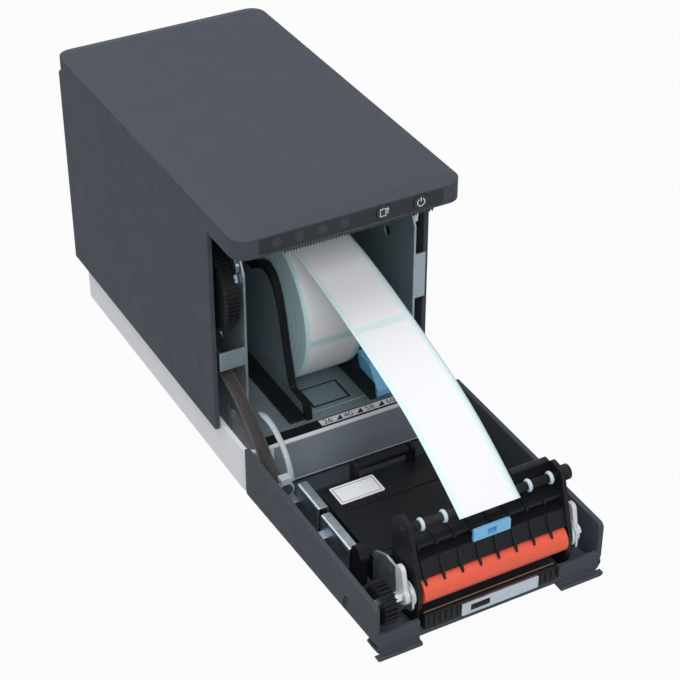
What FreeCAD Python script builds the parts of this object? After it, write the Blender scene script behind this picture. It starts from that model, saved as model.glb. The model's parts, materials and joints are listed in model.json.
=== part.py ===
# Front-opening label printer, cover open, roll loaded. Millimetres, +X right, +Y back, +Z up.
# Sketch coordinates run from the bezel's front plane; every body is then placed so that the origin
# is the centre of the four bracket screw holes in the base's underside.
import FreeCAD, Part
import os
import re
import math
import Sketcher
from FreeCAD import Vector

doc = FreeCAD.newDocument("label_printer")

SIZES = {
    # whole printer and upper case
    "width": 130, "depth": 236, "height": 162, "bezel_height": 13.6, "case_wall": 2.6, "top_wall": 3,
    "corner": 9, "bevel_width": 8, "bevel_drop": 2.4, "setback": 34, "skirt": 24, "rear_depth": 6,
    "rear_corner": 4.5, "boss_radius": 4,
    # control panel, buttons and tear bar
    "panel_margin": 12.4, "panel_half": "width / 2 - panel_margin", "panel_rim": 1,
    "panel_low": "height - bezel_height + panel_rim", "panel_high": "height - bevel_drop - panel_rim",
    "panel_thick": 1.2, "icon_lift": 0.4, "icon_height": "(panel_low + panel_high) / 2 + icon_lift",
    "power_margin": 26, "power_x": "width / 2 - power_margin", "feed_x": 17.5, "button_radius": 4.2,
    "button_gap": 0.35, "button_proud": 0.4, "stem_radius": 2.4, "stem_end": 8, "lens_radius": 1.7,
    "lens_first": -42.8, "lens_pitch": 12.7, "tear_length": 86, "tear_thick": 1.4, "tear_drop": 2.2,
    "tear_low": "height - bezel_height - tear_drop", "tear_rise": 3,
    "tear_high": "height - bezel_height + tear_rise", "tooth_pitch": 2, "tooth_depth": 1.9,
    # base
    "base_inset": 3.3, "base_high": 27, "base_wall": 2.4, "base_floor": 2.5, "base_front": 2.2,
    "base_back": 228, "base_corner": 8, "bracket_x": 80, "bracket_y": 100, "bracket_hole": 1.25,
    "bracket_boss": 4, "boss_high": 9, "rest_height": 2.5, "rest_radius": 7, "rest_side": 19,
    "rest_x": "width / 2 - rest_side", "rest_margin": 30,
    # cover hinge
    "hinge_y": 0, "hinge_z": 2.5, "pin_radius": 1.5, "pin_play": 0.06, "lug_radius": 3.1,
    "hinge_margin": 15.3, "hinge_x": "width / 2 - hinge_margin", "arm_half": 2.5, "lug_gap": 0.7,
    "lug_width": 3.2, "arm_length": 7, "notch_high": 16,
    # front cover shell
    "cover_back": -2, "cover_tip": -140, "cover_high": 35.5, "cover_skin": 2.4, "tip_rise": 7.6,
    "cover_corner": 8, "toe_width": "width / 2 - lip_half - lip_play", "toe_low": 3.8, "toe_high": 17.4,
    "toe_depth": 9,
    "grip_sink": 1.5, "flange": 3, "flange_thick": 2,
    # frames, tray and media
    "media_x": 4.3, "bay_margin": 19, "bay_left": "bay_margin - width / 2", "bay_play": 10.5,
    "bay_right": "width / 2 - bay_play", "frame_wall": 1.2, "frame_front": 31, "frame_back": 205,
    "frame_drop": 22, "frame_top": "height - frame_drop", "tab_reach": 15.8, "tab_drop": 42.2,
    "tab_left_low": "drive_z - tab_drop",
    "tab_height": 11, "tab_left_high": "tab_left_low + tab_height", "tab_right_low": 72,
    "tab_right_high": 100, "tab_right_reach": 7.4,
    "tray_top": 22, "tray_plate": 1.2, "tray_front": 5.6, "tray_back": 150, "groove_depth": 0.5,
    "scale_left": -12, "scale_right": 40, "scale_front": 11.6, "scale_back": 16.6, "scale_thick": 0.3,
    "web_width": 34.4, "web_thick": 0.4, "roll_y": 74, "roll_room": 26,
    "roll_radius": "(frame_top - tray_top - roll_room) / 2", "roll_gap": 0.3, "core_radius": 19,
    "core_wall": 1.6, "guide_gap": 0.8, "guide_thick": 3.2, "guide_skin": 1.2, "guide_lift": 0.2,
    "guide_foot": 13, "grip_width": 12, "grip_high": 15.8,
    # head, brace, latch, drive
    "brace_front": 52, "brace_back": 98, "head_gap": 2.1, "head_low": "frame_top + head_gap",
    "head_front": 24, "head_back": 50, "head_thick": 2.6, "sink_drop": 9,
    "sink_high": "height - sink_drop", "spring_radius": 4, "spring_bore": 2.6, "latch_y": 74,
    "latch_drop": 8, "latch_z": "frame_top - latch_drop", "latch_radius": 2.5, "latch_plate": 2,
    "gear_margin": 5.4, "gear_left": "gear_margin - width / 2", "gear_width": 7, "axle_radius": 2.4,
    "gear_play": 0.06, "drive_teeth": 54, "idler_teeth": 28, "pinion_teeth": 14, "platen_teeth": 26,
    "module": 0.8, "drive_y": 45.6, "drive_drop": 34.8, "drive_z": "frame_top - drive_drop",
    "motor_radius": 16, "motor_length": 24,
    "addendum": 0.7, "dedendum": 1, "tooth_root": 0.6, "tooth_tip": 0.3,
    # cover mechanism
    "platen_y": -131, "platen_z": 29, "platen_radius": 7.5, "platen_length": 82, "shaft_radius": 3,
    "shaft_margin": 4.2, "shaft_left": "shaft_margin - width / 2", "shaft_reach": 10.7,
    "shaft_right": "media_x + platen_length / 2 + shaft_reach", "bush_radius": 5, "bush_flange": 6.4,
    "plate_gap_left": 6.8, "plate_left": "media_x - platen_length / 2 - plate_gap_left", "plate_gap": 4.7,
    "plate_right": "media_x + platen_length / 2 + plate_gap", "plate_wall": 1.2, "plate_nose": 7,
    "guide_side": 3, "guide_left": "media_x - platen_length / 2 - guide_side",
    "guide_right": "media_x + platen_length / 2 + guide_side", "cheek": 2.2, "rib_pitch": 10.2,
    "rib_width": 0.9, "rib_high": 0.7, "roller_y": -122.5, "roller_z": 61, "roller_radius": 3.4,
    "journal_radius": 2, "ring_radius": 4.9, "knob_radius": 4.2, "ring_width": 2.6, "rail_y": -119.5,
    "rail_z": 48.3, "rail_radius": 1.2, "slider_half": 10.5, "slider_play": 0.08, "slider_front": -131.5,
    "slider_skin": 1.6, "slider_low": 46.4, "slider_high": 53.4, "window": 5, "lip_play": 2.8,
    "lip_inset": 3.8,
    "lip_half": "platen_length / 2 - lip_inset", "lip_depth": 4.5, "lip_high": 19,
    "lip_plate_left": -17.2, "lip_plate_right": 26.8, "lip_plate_thick": 1.2, "wire_radius": 0.6,
    "deck_margin": 24, "deck_half": "width / 2 - deck_margin", "deck_high": 23.5, "deck_thick": 2.5,
    "label_margin": 5.6, "label_left": "label_margin - deck_half", "label_right": -9.6,
    "label_front": -53, "label_back": -39, "label_thick": 0.3, "damper_y": -33.5, "damper_z": 27.5,
    "damper_radius": 2.5, "damper_left": -16, "damper_right": 15, "ear_wall": 2, "channel_margin": 14.3,
    "channel_left": "channel_margin - width / 2", "channel_width": 6.2,
    "channel_right": "channel_left + channel_width", "channel_wall": 1, "channel_high": 29,
    "channel_bend": 1.6,
    # board, sockets, fasteners and harness
    "board_y": 216, "board_thick": 1.6, "board_margin": 23, "board_half": "width / 2 - board_margin",
    "board_high": 105, "port_low": 32, "port_high": 54, "port_left": -44, "port_right": 23,
    "screw_radius": 2.8, "screw_thick": 1.2, "screw_sink": 1.4, "screw_side": 12, "screw_low": 30,
    "screw_top": 24, "harness_margin": 10,
    "harness_x": "harness_margin - width / 2", "harness_z": 24, "rest_gap": 0.2, "harness_radius": 3.5,
    "tie_gap": 0.15, "tie_wall": 1.1, "tie_width": 3,
}

sheet = doc.addObject("Spreadsheet::Sheet", "dim")
for row, word in enumerate(SIZES, start=1):
    sheet.set(f"A{row}", word)
    sheet.setAlias(f"B{row}", word)
for row, size in enumerate(SIZES.values(), start=1):
    sheet.set(f"B{row}", f"={size}")
doc.recompute()

WORD = re.compile(r"[A-Za-z_][A-Za-z_0-9]*")
BODIES = []


def bound(text):
    """An expression on the sheet, from words and plain arithmetic."""
    return WORD.sub(lambda match: f"dim.{match.group(0)}", str(text))


def value(text):
    """The present value of such an expression."""
    result = sheet.evalExpression(bound(text))
    return float(getattr(result, "Value", result))


def bind(target, path, text):
    """Bind a property to the sheet."""
    target.setExpression(path, bound(text))


def pin_point(sketch, geometry, end, across, up):
    """Hold one sketch point at expressions of the sheet."""
    for kind, text in (("DistanceX", across), ("DistanceY", up)):
        number = sketch.addConstraint(Sketcher.Constraint(kind, -1, 1, geometry, end, value(text)))
        bind(sketch, f"Constraints[{number}]", text)


class Circle:
    """A circle outline."""

    def __init__(self, across, up, radius):
        self.across, self.up, self.radius = across, up, radius

    def draw(self, sketch):
        centre = Vector(value(self.across), value(self.up), 0)
        curve = sketch.addGeometry(Part.Circle(centre, Vector(0, 0, 1), value(self.radius)))
        pin_point(sketch, curve, 3, self.across, self.up)
        number = sketch.addConstraint(Sketcher.Constraint("Radius", curve, value(self.radius)))
        bind(sketch, f"Constraints[{number}]", self.radius)


class Outline:
    """A closed outline of straight runs; a point (across, up, radius) has a rounded corner."""

    def __init__(self, *points):
        self.points = points

    def draw(self, sketch):
        count = len(self.points)
        spots = [Vector(value(point[0]), value(point[1]), 0) for point in self.points]
        entries, exits, arcs = [], [], []
        for index, point in enumerate(self.points):
            here = spots[index]
            toward = (here - spots[index - 1]).normalize()
            onward = (spots[(index + 1) % count] - here).normalize()
            if len(point) == 2:
                entries.append(here)
                exits.append(here)
                arcs.append(None)
                continue
            radius = value(point[2])
            turn = math.atan2(toward.x * onward.y - toward.y * onward.x, toward.dot(onward))
            reach = radius * math.tan(abs(turn) / 2)
            start = here - toward * reach
            side = 1 if turn > 0 else -1
            centre = start + Vector(-toward.y, toward.x, 0) * radius * side
            entries.append(start)
            exits.append(here + onward * reach)
            arcs.append((centre, radius, side))
        lines = []
        for index in range(count):
            run = Part.LineSegment(exits[index], entries[(index + 1) % count])
            lines.append(sketch.addGeometry(run))
        for index, point in enumerate(self.points):
            before, after = lines[index - 1], lines[index]
            if arcs[index] is None:
                sketch.addConstraint(Sketcher.Constraint("Coincident", before, 2, after, 1))
                pin_point(sketch, after, 1, point[0], point[1])
                continue
            self.round_corner(sketch, arcs[index], (entries[index], exits[index]), (before, after), point)

    def round_corner(self, sketch, arc, ends, runs, point):
        centre, radius, side = arc
        first, last = ends if side > 0 else (ends[1], ends[0])
        start = math.atan2(first.y - centre.y, first.x - centre.x)
        stop = math.atan2(last.y - centre.y, last.x - centre.x)
        round_edge = Part.ArcOfCircle(Part.Circle(centre, Vector(0, 0, 1), radius), start, stop)
        curve = sketch.addGeometry(round_edge)
        entry_end, exit_end = (1, 2) if side > 0 else (2, 1)
        sketch.addConstraint(Sketcher.Constraint("Tangent", runs[0], 2, curve, entry_end))
        sketch.addConstraint(Sketcher.Constraint("Tangent", runs[1], 1, curve, exit_end))
        number = sketch.addConstraint(Sketcher.Constraint("Radius", curve, radius))
        bind(sketch, f"Constraints[{number}]", point[2])
        spot = sketch.addGeometry(Part.Point(Vector(value(point[0]), value(point[1]), 0)), True)
        pin_point(sketch, spot, 1, point[0], point[1])
        for run in runs:
            sketch.addConstraint(Sketcher.Constraint("PointOnObject", spot, 1, run))


def rectangle(left, low, right, high, radius=None):
    """A rectangle outline, with rounded corners where a radius is given."""
    corners = ((left, low), (right, low), (right, high), (left, high))
    return Outline(*(corner if radius is None else (*corner, radius) for corner in corners))


class Piece:
    """One sub-part: a body whose sketches and features are bound to the sheet."""

    def __init__(self, label, place=("0", "0", "0")):
        self.body = doc.addObject("PartDesign::Body", label)
        self.body.Label = label
        self.body.AllowCompound = True
        for axis, text in zip("xyz", (place[0], f"{place[1]} - depth / 2", place[2])):
            bind(self.body, f"Placement.Base.{axis}", text)
        BODIES.append(self.body)

    def origin(self, role):
        return next(item for item in self.body.Origin.OriginFeatures if item.Role == role)

    def sketch(self, plane, start, outlines):
        sketch = self.body.newObject("Sketcher::SketchObject", f"{self.body.Name}_sketch")
        sketch.AttachmentSupport = [(self.origin(f"{plane}_Plane"), "")]
        sketch.MapMode = "FlatFace"
        bind(sketch, "AttachmentOffset.Base.z", f"-({start})" if plane == "XZ" else start)
        for outline in outlines:
            outline.draw(sketch)
        return sketch

    def feature(self, kind, sketch, start, end, backward):
        feature = self.body.newObject(f"PartDesign::{kind}", f"{self.body.Name}_{kind.lower()}")
        feature.Profile = sketch
        feature.Reversed = backward
        bind(feature, "Length", f"({end}) - ({start})")
        sketch.Visibility = False
        doc.recompute()
        return feature

    def add(self, plane, start, end, *outlines):
        """Pad the outlines from one coordinate to another along the plane's axis."""
        sketch = self.sketch(plane, start, outlines)
        return self.feature("Pad", sketch, start, end, plane == "XZ")

    def cut(self, plane, start, end, *outlines):
        """Pocket the outlines between two coordinates, and make sure that something was cut."""
        before = self.body.Tip.Shape.Volume
        sketch = self.sketch(plane, start, outlines)
        feature = self.feature("Pocket", sketch, start, end, plane != "XZ")
        if self.body.Tip.Shape.Volume > before - 1e-3:
            raise RuntimeError(f"{self.body.Label}: a pocket cut nothing")
        return feature

    def dress(self, kind, size, pick, second=None):
        """Round or bevel the edges that pick chooses."""
        base = self.body.Tip
        names = [f"Edge{n}" for n, edge in enumerate(base.Shape.Edges, start=1) if pick(edge)]
        feature = self.body.newObject(f"PartDesign::{kind}", f"{self.body.Name}_{kind.lower()}")
        feature.Base = (base, names)
        if kind == "Fillet":
            bind(feature, "Radius", size)
        else:
            bind(feature, "Size", size)
        if second is not None:
            feature.ChamferType = "Two distances"
            bind(feature, "Size2", second)
        doc.recompute()
        return feature

    def row(self, feature, axis, pitch, count):
        """Repeat a feature along an axis."""
        pattern = self.body.newObject("PartDesign::LinearPattern", f"{self.body.Name}_row")
        pattern.Originals = [feature]
        pattern.Direction = (self.origin(f"{axis}_Axis"), [""])
        pattern.Occurrences = count
        bind(pattern, "Length", f"({pitch}) * {count - 1}")
        self.body.Tip = pattern
        doc.recompute()
        return pattern

    def ring(self, feature, count):
        """Repeat a feature round the body's own X axis."""
        pattern = self.body.newObject("PartDesign::PolarPattern", f"{self.body.Name}_ring")
        pattern.Originals = [feature]
        pattern.Axis = (self.origin("X_Axis"), [""])
        pattern.Angle = 360
        pattern.Occurrences = count
        self.body.Tip = pattern
        doc.recompute()
        return pattern


HALF = "width / 2"
BEZEL_LOW = "(height - bezel_height)"
BASE_HALF = "(width / 2 - base_inset)"
COVER_SLOPE = "(tip_rise / (cover_back - cover_tip))"
WEB_LEFT = "(media_x - web_width / 2)"
WEB_RIGHT = "(media_x + web_width / 2)"
ROLL_Z = "(tray_top + roll_gap + roll_radius)"
PLATEN_LEFT = "(media_x - platen_length / 2)"
PLATEN_RIGHT = "(media_x + platen_length / 2)"
SCREW_SIDES = (f"-({HALF} - screw_side)", f"{HALF} - screw_side")
SCREW_HEIGHTS = ("screw_low", "height - screw_top")


def cover_floor(spot):
    """Height of the open cover's inside floor at a given place along it."""
    return f"(cover_skin + {COVER_SLOPE} * (cover_back - ({spot})))"


def along(edge, axis):
    """True where an edge runs along one axis."""
    box = edge.BoundBox
    return {"x": box.XLength, "y": box.YLength, "z": box.ZLength}[axis] > 0.9 * box.DiagonalLength


def base_tray():
    piece = Piece("base_tray")
    outside = rectangle(f"-{BASE_HALF}", "base_front", BASE_HALF, "base_back", "base_corner")
    piece.add("XY", "0", "base_high", outside)
    inner = f"({BASE_HALF} - base_wall)"
    inside = rectangle(f"-{inner}", "base_front + base_wall", inner, "base_back - base_wall",
                       "base_corner - base_wall")
    piece.cut("XY", "base_floor", "base_high + 1", inside)
    for side in ("-hinge_x", "hinge_x"):
        slot = "(arm_half + lug_gap)"
        notch = rectangle(f"{side} - {slot}", "-1", f"{side} + {slot}", "notch_high")
        piece.cut("XZ", "base_front - 1", "hinge_y + lug_radius + lug_gap + base_wall", notch)
        for start in (f"{side} - {slot} - lug_width", f"{side} + {slot}"):
            end = f"{start} + lug_width"
            lug = Outline(("hinge_y - lug_radius", "hinge_z - lug_radius", "lug_radius * 0.95"),
                          ("base_front + 1", "hinge_z - lug_radius"),
                          ("base_front + 1", "hinge_z + lug_radius"),
                          ("hinge_y - lug_radius", "hinge_z + lug_radius", "lug_radius * 0.95"))
            piece.add("YZ", start, end, lug)
            piece.cut("YZ", start, end, Circle("hinge_y", "hinge_z", "pin_radius"))
    spots = [(f"{x} * bracket_x / 2", f"depth / 2 + {y} * bracket_y / 2") for x in (-1, 1) for y in (-1, 1)]
    piece.add("XY", "base_floor", "boss_high", *(Circle(x, y, "bracket_boss") for x, y in spots))
    piece.cut("XY", "0", "boss_high - 1", *(Circle(x, y, "bracket_hole") for x, y in spots))


def rubber_feet():
    piece = Piece("rubber_feet")
    spots = [(x, y) for x in ("-rest_x", "rest_x") for y in ("rest_margin", "base_back - rest_margin")]
    piece.add("XY", "-rest_height", "0", *(Circle(x, y, "rest_radius") for x, y in spots))


def hinge_pins():
    piece = Piece("hinge_pins")
    reach = "(arm_half + lug_gap + lug_width)"
    for side in ("-hinge_x", "hinge_x"):
        piece.add("YZ", f"{side} - {reach}", f"{side} + {reach}", Circle("hinge_y", "hinge_z", "pin_radius"))


def upper_case():
    piece = Piece("upper_case")
    top = rectangle(f"-{HALF}", "0", HALF, "depth", "corner")
    piece.add("XY", BEZEL_LOW, "height", top)
    high = value("height")
    piece.dress("Chamfer", "bevel_drop", lambda edge: edge.BoundBox.ZMin > high - 0.01, "bevel_width")
    inner = f"({HALF} - case_wall)"
    hollow = rectangle(f"-{inner}", "case_wall", inner, "depth - case_wall", "corner - case_wall")
    piece.cut("XY", BEZEL_LOW, "height - top_wall", hollow)
    wall = rectangle("setback", "skirt", "depth - rear_depth", BEZEL_LOW)
    piece.add("YZ", f"-{HALF}", f"case_wall - {HALF}", wall)
    piece.add("YZ", f"{HALF} - case_wall", HALF, wall)
    panel = rectangle("-panel_half", "panel_low", "panel_half", "panel_high")
    piece.cut("XZ", "0", "panel_thick", panel)
    stems = [Circle(x, "icon_height", "stem_radius + button_gap") for x in ("power_x", "feed_x")]
    piece.cut("XZ", "panel_thick", "case_wall", *stems)
    bosses = [Circle(x, y, "boss_radius") for x in ("bay_left + 8", "bay_right - 8")
              for y in ("brace_front + 22", "brace_back - 6")]
    piece.add("XY", "frame_top + frame_wall", "height - top_wall", *bosses)


def rear_cover():
    piece = Piece("rear_cover")
    piece.add("XZ", "depth - rear_depth", "depth", rectangle(f"-{HALF}", "skirt", HALF, BEZEL_LOW))
    back, half = value("depth"), value(HALF)

    def outer_upright(edge):
        box = edge.BoundBox
        return along(edge, "z") and box.YMin > back - 0.01 and abs(abs(box.XMin) - half) < 0.01

    piece.dress("Fillet", "rear_corner", outer_upright)
    inner = f"({HALF} - rear_corner)"
    piece.cut("XZ", "depth - rear_depth", "depth - case_wall",
              rectangle(f"-{inner}", "skirt + case_wall", inner, f"{BEZEL_LOW} - case_wall"))
    bay = rectangle("port_left", "port_low", "port_right", "port_high", "2")
    piece.cut("XZ", "depth - case_wall", "depth", bay)
    vent = piece.cut("XZ", "depth - case_wall", "depth", rectangle("-30", "78", "30", "80.4", "1.1"))
    piece.row(vent, "Z", "6", 8)
    sinks = [Circle(x, z, "screw_radius + 0.4") for x in SCREW_SIDES for z in SCREW_HEIGHTS]
    piece.cut("XZ", "depth - screw_sink", "depth", *sinks)


def case_screws():
    piece = Piece("case_screws")
    heads = [Circle(x, z, "screw_radius") for x in SCREW_SIDES for z in SCREW_HEIGHTS]
    piece.add("XZ", "depth - screw_sink", "depth - screw_sink + screw_thick", *heads)


def control_panel():
    piece = Piece("control_panel")
    piece.add("XZ", "0", "panel_thick", rectangle("-panel_half", "panel_low", "panel_half", "panel_high"))
    buttons = [Circle(x, "icon_height", "button_radius + button_gap") for x in ("power_x", "feed_x")]
    lenses = [Circle(f"lens_first + {n} * lens_pitch", "icon_height", "lens_radius") for n in range(4)]
    piece.cut("XZ", "0", "panel_thick", *buttons, *lenses)


def status_lenses():
    piece = Piece("status_lenses")
    lenses = [Circle(f"lens_first + {n} * lens_pitch", "icon_height", "lens_radius") for n in range(4)]
    piece.add("XZ", "0", "panel_thick", *lenses)


def button(label, spot):
    piece = Piece(label)
    piece.add("XZ", "-button_proud", "panel_thick - 0.9", Circle(spot, "icon_height", "button_radius"))
    piece.add("XZ", "panel_thick - 0.9", "stem_end", Circle(spot, "icon_height", "stem_radius"))


def tear_bar():
    piece = Piece("tear_bar")
    left, right = "(media_x - tear_length / 2)", "(media_x + tear_length / 2)"
    blade = rectangle(left, "tear_low + tooth_depth", right, "tear_high")
    piece.add("XZ", "case_wall", "case_wall + tear_thick", blade)
    tooth = Outline((f"{left} + 0.05", "tear_low + tooth_depth"),
                    (f"{left} + tooth_pitch / 2", "tear_low"),
                    (f"{left} + tooth_pitch - 0.05", "tear_low + tooth_depth"))
    first = piece.add("XZ", "case_wall", "case_wall + tear_thick", tooth)
    piece.row(first, "X", "tooth_pitch", round(SIZES["tear_length"] / SIZES["tooth_pitch"]))


def frame(label, start, tab, tab_low, tab_high, holes):
    piece = Piece(label)
    plate = Outline(("frame_front", "tray_top", "3"), ("frame_front", "frame_top - 22", "4"),
                    ("frame_front + 10", "frame_top"), ("frame_back", "frame_top", "8"),
                    ("frame_back", "base_floor"), ("frame_front + 24", "base_floor"),
                    ("frame_front + 24", "tray_top"))
    piece.add("YZ", start, f"{start} + frame_wall", plate)
    piece.add("XZ", "frame_front", "frame_front + frame_wall", rectangle(tab[0], tab_low, tab[1], tab_high))
    piece.cut("YZ", start, f"{start} + frame_wall", *holes)


def left_frame():
    start = "(bay_left - frame_wall)"
    tab = ("bay_left - frame_wall - tab_reach + frame_wall", "bay_left")
    holes = [Circle("latch_y", "latch_z", "latch_radius + gear_play"),
             Circle(motor_y(), "drive_z", "module * pinion_teeth / 2"),
             Circle("60", "66", "3")]
    frame("left_frame", start, tab, "tab_left_low", "tab_left_high", holes)


def right_frame():
    tab = ("bay_right", "bay_right + tab_right_reach")
    holes = [Circle("latch_y", "latch_z", "latch_radius + gear_play"), Circle("60", "100", "3")]
    frame("right_frame", "bay_right", tab, "tab_right_low", "tab_right_high", holes)


def top_brace():
    piece = Piece("top_brace")
    left, right = "bay_left - frame_wall", "bay_right + frame_wall"
    plate = rectangle(left, "brace_front", right, "brace_back")
    piece.add("XY", "frame_top", "frame_top + frame_wall", plate)
    piece.cut("XY", "frame_top", "frame_top + frame_wall",
              rectangle("media_x - 30", "brace_front + 20", "media_x + 30", "brace_back - 14", "3"))


def roll_tray():
    piece = Piece("roll_tray")
    floor = rectangle("bay_left", "tray_front", "bay_right", "tray_back")
    piece.add("XY", "tray_top - tray_plate", "tray_top", floor)
    lip = rectangle("bay_left", "base_floor", "bay_right", "tray_top - tray_plate")
    piece.add("XZ", "tray_front", "tray_front + tray_plate", lip)
    piece.add("XZ", "tray_back - tray_plate", "tray_back", lip)
    outer = rectangle("media_x - 22", "24", "media_x + 22", "70")
    inner = rectangle("media_x - 21", "25", "media_x + 21", "69")
    piece.cut("XY", "tray_top - groove_depth", "tray_top", outer, inner)


def scale_strip():
    piece = Piece("scale_strip")
    strip = rectangle("scale_left", "scale_front", "scale_right", "scale_back")
    piece.add("XY", "tray_top", "tray_top + scale_thick", strip)


def guide_profile(margin, low):
    """Side outline of a roll guide, drawn in by a margin."""
    return Outline((f"19.5 + {margin}", low),
                   (f"21 + {margin}", f"31.4 - {margin} * 0.4"),
                   (f"39.5 + {margin}", f"31.4 - {margin} * 0.4", "2"),
                   (f"48 + {margin}", "66", "30"),
                   (f"62 + {margin}", f"85 - {margin} * 0.7", "14"),
                   ("92", f"87.5 - {margin}", "12"),
                   (f"122 - {margin}", f"72 - {margin}", "14"),
                   (f"126 - {margin}", low))


def roll_guide(label, face, outward):
    piece = Piece(label)
    base = "(tray_top + guide_lift)"
    far = f"({face} + ({outward}) * guide_thick)"
    ends = (far, face) if outward < 0 else (face, far)
    piece.add("YZ", *ends, guide_profile("0", base))
    skin = f"({face} + ({outward}) * guide_skin)"
    hollow = (far, skin) if outward < 0 else (skin, far)
    piece.cut("YZ", *hollow, guide_profile("3", f"{base} + 3"))
    toe = f"({face} + ({outward}) * guide_foot)"
    sides = (toe, face) if outward < 0 else (face, toe)
    piece.add("XY", base, f"{base} + 1.6", rectangle(sides[0], "21", sides[1], "122"))


def guide_lock():
    start = f"({WEB_RIGHT} + guide_gap + guide_thick + 0.4)"
    piece = Piece("guide_lock")
    base = "(tray_top + guide_lift + 1.6)"
    end = f"({start} + grip_width - guide_thick)"
    grip = Outline(("18", f"{base} + 0.3"), ("44", f"{base} + 0.3"), ("44", f"{base} + grip_high", "2"),
                   ("28", f"{base} + grip_high", "3"), ("18", f"{base} + 4", "1"))
    piece.add("YZ", start, end, grip)
    rib = Outline(("32", f"{base} + grip_high - 1"), ("32", f"{base} + grip_high + 0.6"),
                  ("31.2", f"{base} + grip_high + 0.6"), ("31.2", f"{base} + grip_high - 1"))
    first = piece.add("YZ", start, end, rib)
    piece.row(first, "Y", "2", 6)


def label_roll():
    piece = Piece("label_roll")
    piece.add("YZ", WEB_LEFT, WEB_RIGHT, Circle("roll_y", ROLL_Z, "roll_radius"),
              Circle("roll_y", ROLL_Z, "core_radius"))


def roll_core():
    piece = Piece("roll_core")
    piece.add("YZ", WEB_LEFT, WEB_RIGHT, Circle("roll_y", ROLL_Z, "core_radius"),
              Circle("roll_y", ROLL_Z, "core_radius - core_wall"))


def label_web():
    piece = Piece("label_web")
    top = f"({ROLL_Z} + roll_radius)"
    upper = [("roll_y + 6", f"{top} + 0.4"), ("roll_y - 14", f"{top} + 3.6"), ("35", f"{top} + 2.6"),
             ("8", f"{top} - 2.4"), ("-20", f"{top} - 9"), ("-71", f"{top} - 22"), ("-100", f"{top} - 35"),
             ("roller_y - 1", "roller_z + ring_radius + 1.2"), ("roller_y - 6.4", "roller_z + 1.4")]
    lower = [(y, f"{z} - web_thick") for y, z in reversed(upper[:-1])]
    tail = [("roller_y - 6", "roller_z + 1.4")]
    piece.add("YZ", WEB_LEFT, WEB_RIGHT, Outline(*upper, *tail, *lower))


def print_head():
    piece = Piece("print_head")
    head = rectangle(PLATEN_LEFT, "head_front", PLATEN_RIGHT, "head_back")
    piece.add("XY", "head_low", "head_low + head_thick", head)


def heat_sink():
    piece = Piece("heat_sink")
    low = "(head_low + head_thick)"
    plate = rectangle(PLATEN_LEFT, "head_front", PLATEN_RIGHT, "brace_front + 16")
    piece.add("XY", low, f"{low} + 2.4", plate)
    fin = rectangle(f"{PLATEN_LEFT} + 1", "head_front + 14", f"{PLATEN_LEFT} + 2.6", "brace_front + 16")
    first = piece.add("XY", f"{low} + 2.4", "sink_high", fin)
    piece.row(first, "X", "(platen_length - 3) / 10", 11)
    foot = rectangle(PLATEN_LEFT, "brace_front + 4", PLATEN_RIGHT, "brace_front + 14")
    piece.add("XY", "frame_top + frame_wall", low, foot)


def head_springs():
    piece = Piece("head_springs")
    low = "(head_low + head_thick + 2.4)"
    spots = ("media_x - 26", "media_x", "media_x + 26")
    rings = [Circle(x, "head_front + 7", radius) for x in spots
             for radius in ("spring_radius", "spring_bore")]
    piece.add("XY", low, "height - top_wall", *rings)


def idler_y():
    """Place of the idler gear's axis, behind the drive gear."""
    return "(drive_y + module * (drive_teeth + idler_teeth) / 2)"


def motor_y():
    """Place of the motor's axis, behind the idler gear."""
    return f"({idler_y()} + module * (idler_teeth + pinion_teeth) / 2)"


def gear(label, place_y, place_z, teeth, bore, half_pitch=False):
    """A spur gear on its own X axis: a root disc with teeth repeated round it."""
    piece = Piece(label, ("gear_left", place_y, place_z))
    root = f"(module * {teeth} / 2 - dedendum)"
    tip = f"(module * {teeth} / 2 + addendum)"
    piece.add("YZ", "0", "gear_width", Circle("0", "0", root))
    tooth = Outline((f"{root} - addendum", "-tooth_root"), (tip, "-tooth_tip"), (tip, "tooth_tip"),
                    (f"{root} - addendum", "tooth_root"))
    first = piece.add("YZ", "0", "gear_width", tooth)
    piece.ring(first, SIZES[teeth])
    piece.cut("YZ", "0", "gear_width", Circle("0", "0", bore))
    if half_pitch:
        piece.body.Placement.Rotation.Axis = Vector(1, 0, 0)
        bind(piece.body, "Placement.Rotation.Angle", f"180 / {teeth}")


def drive_train():
    gear("drive_gear", "drive_y", "drive_z", "drive_teeth", "axle_radius + gear_play")
    gear("idler_gear", idler_y(), "drive_z", "idler_teeth", "axle_radius + gear_play", True)
    gear("motor_pinion", motor_y(), "drive_z", "pinion_teeth", "axle_radius")
    axles = Piece("gear_axles")
    spots = [Circle(y, "drive_z", "axle_radius") for y in ("drive_y", idler_y())]
    axles.add("YZ", "gear_left", "bay_left - frame_wall", *spots)
    shaft = Piece("motor_shaft")
    shaft.add("YZ", "gear_left", "bay_left + 6", Circle(motor_y(), "drive_z", "axle_radius"))


def drive_motor():
    piece = Piece("drive_motor")
    case = Circle(motor_y(), "drive_z", "motor_radius")
    piece.add("YZ", "bay_left", "bay_left + motor_length", case)
    piece.cut("YZ", "bay_left", "bay_left + 8", Circle(motor_y(), "drive_z", "axle_radius + gear_play"))


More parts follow.
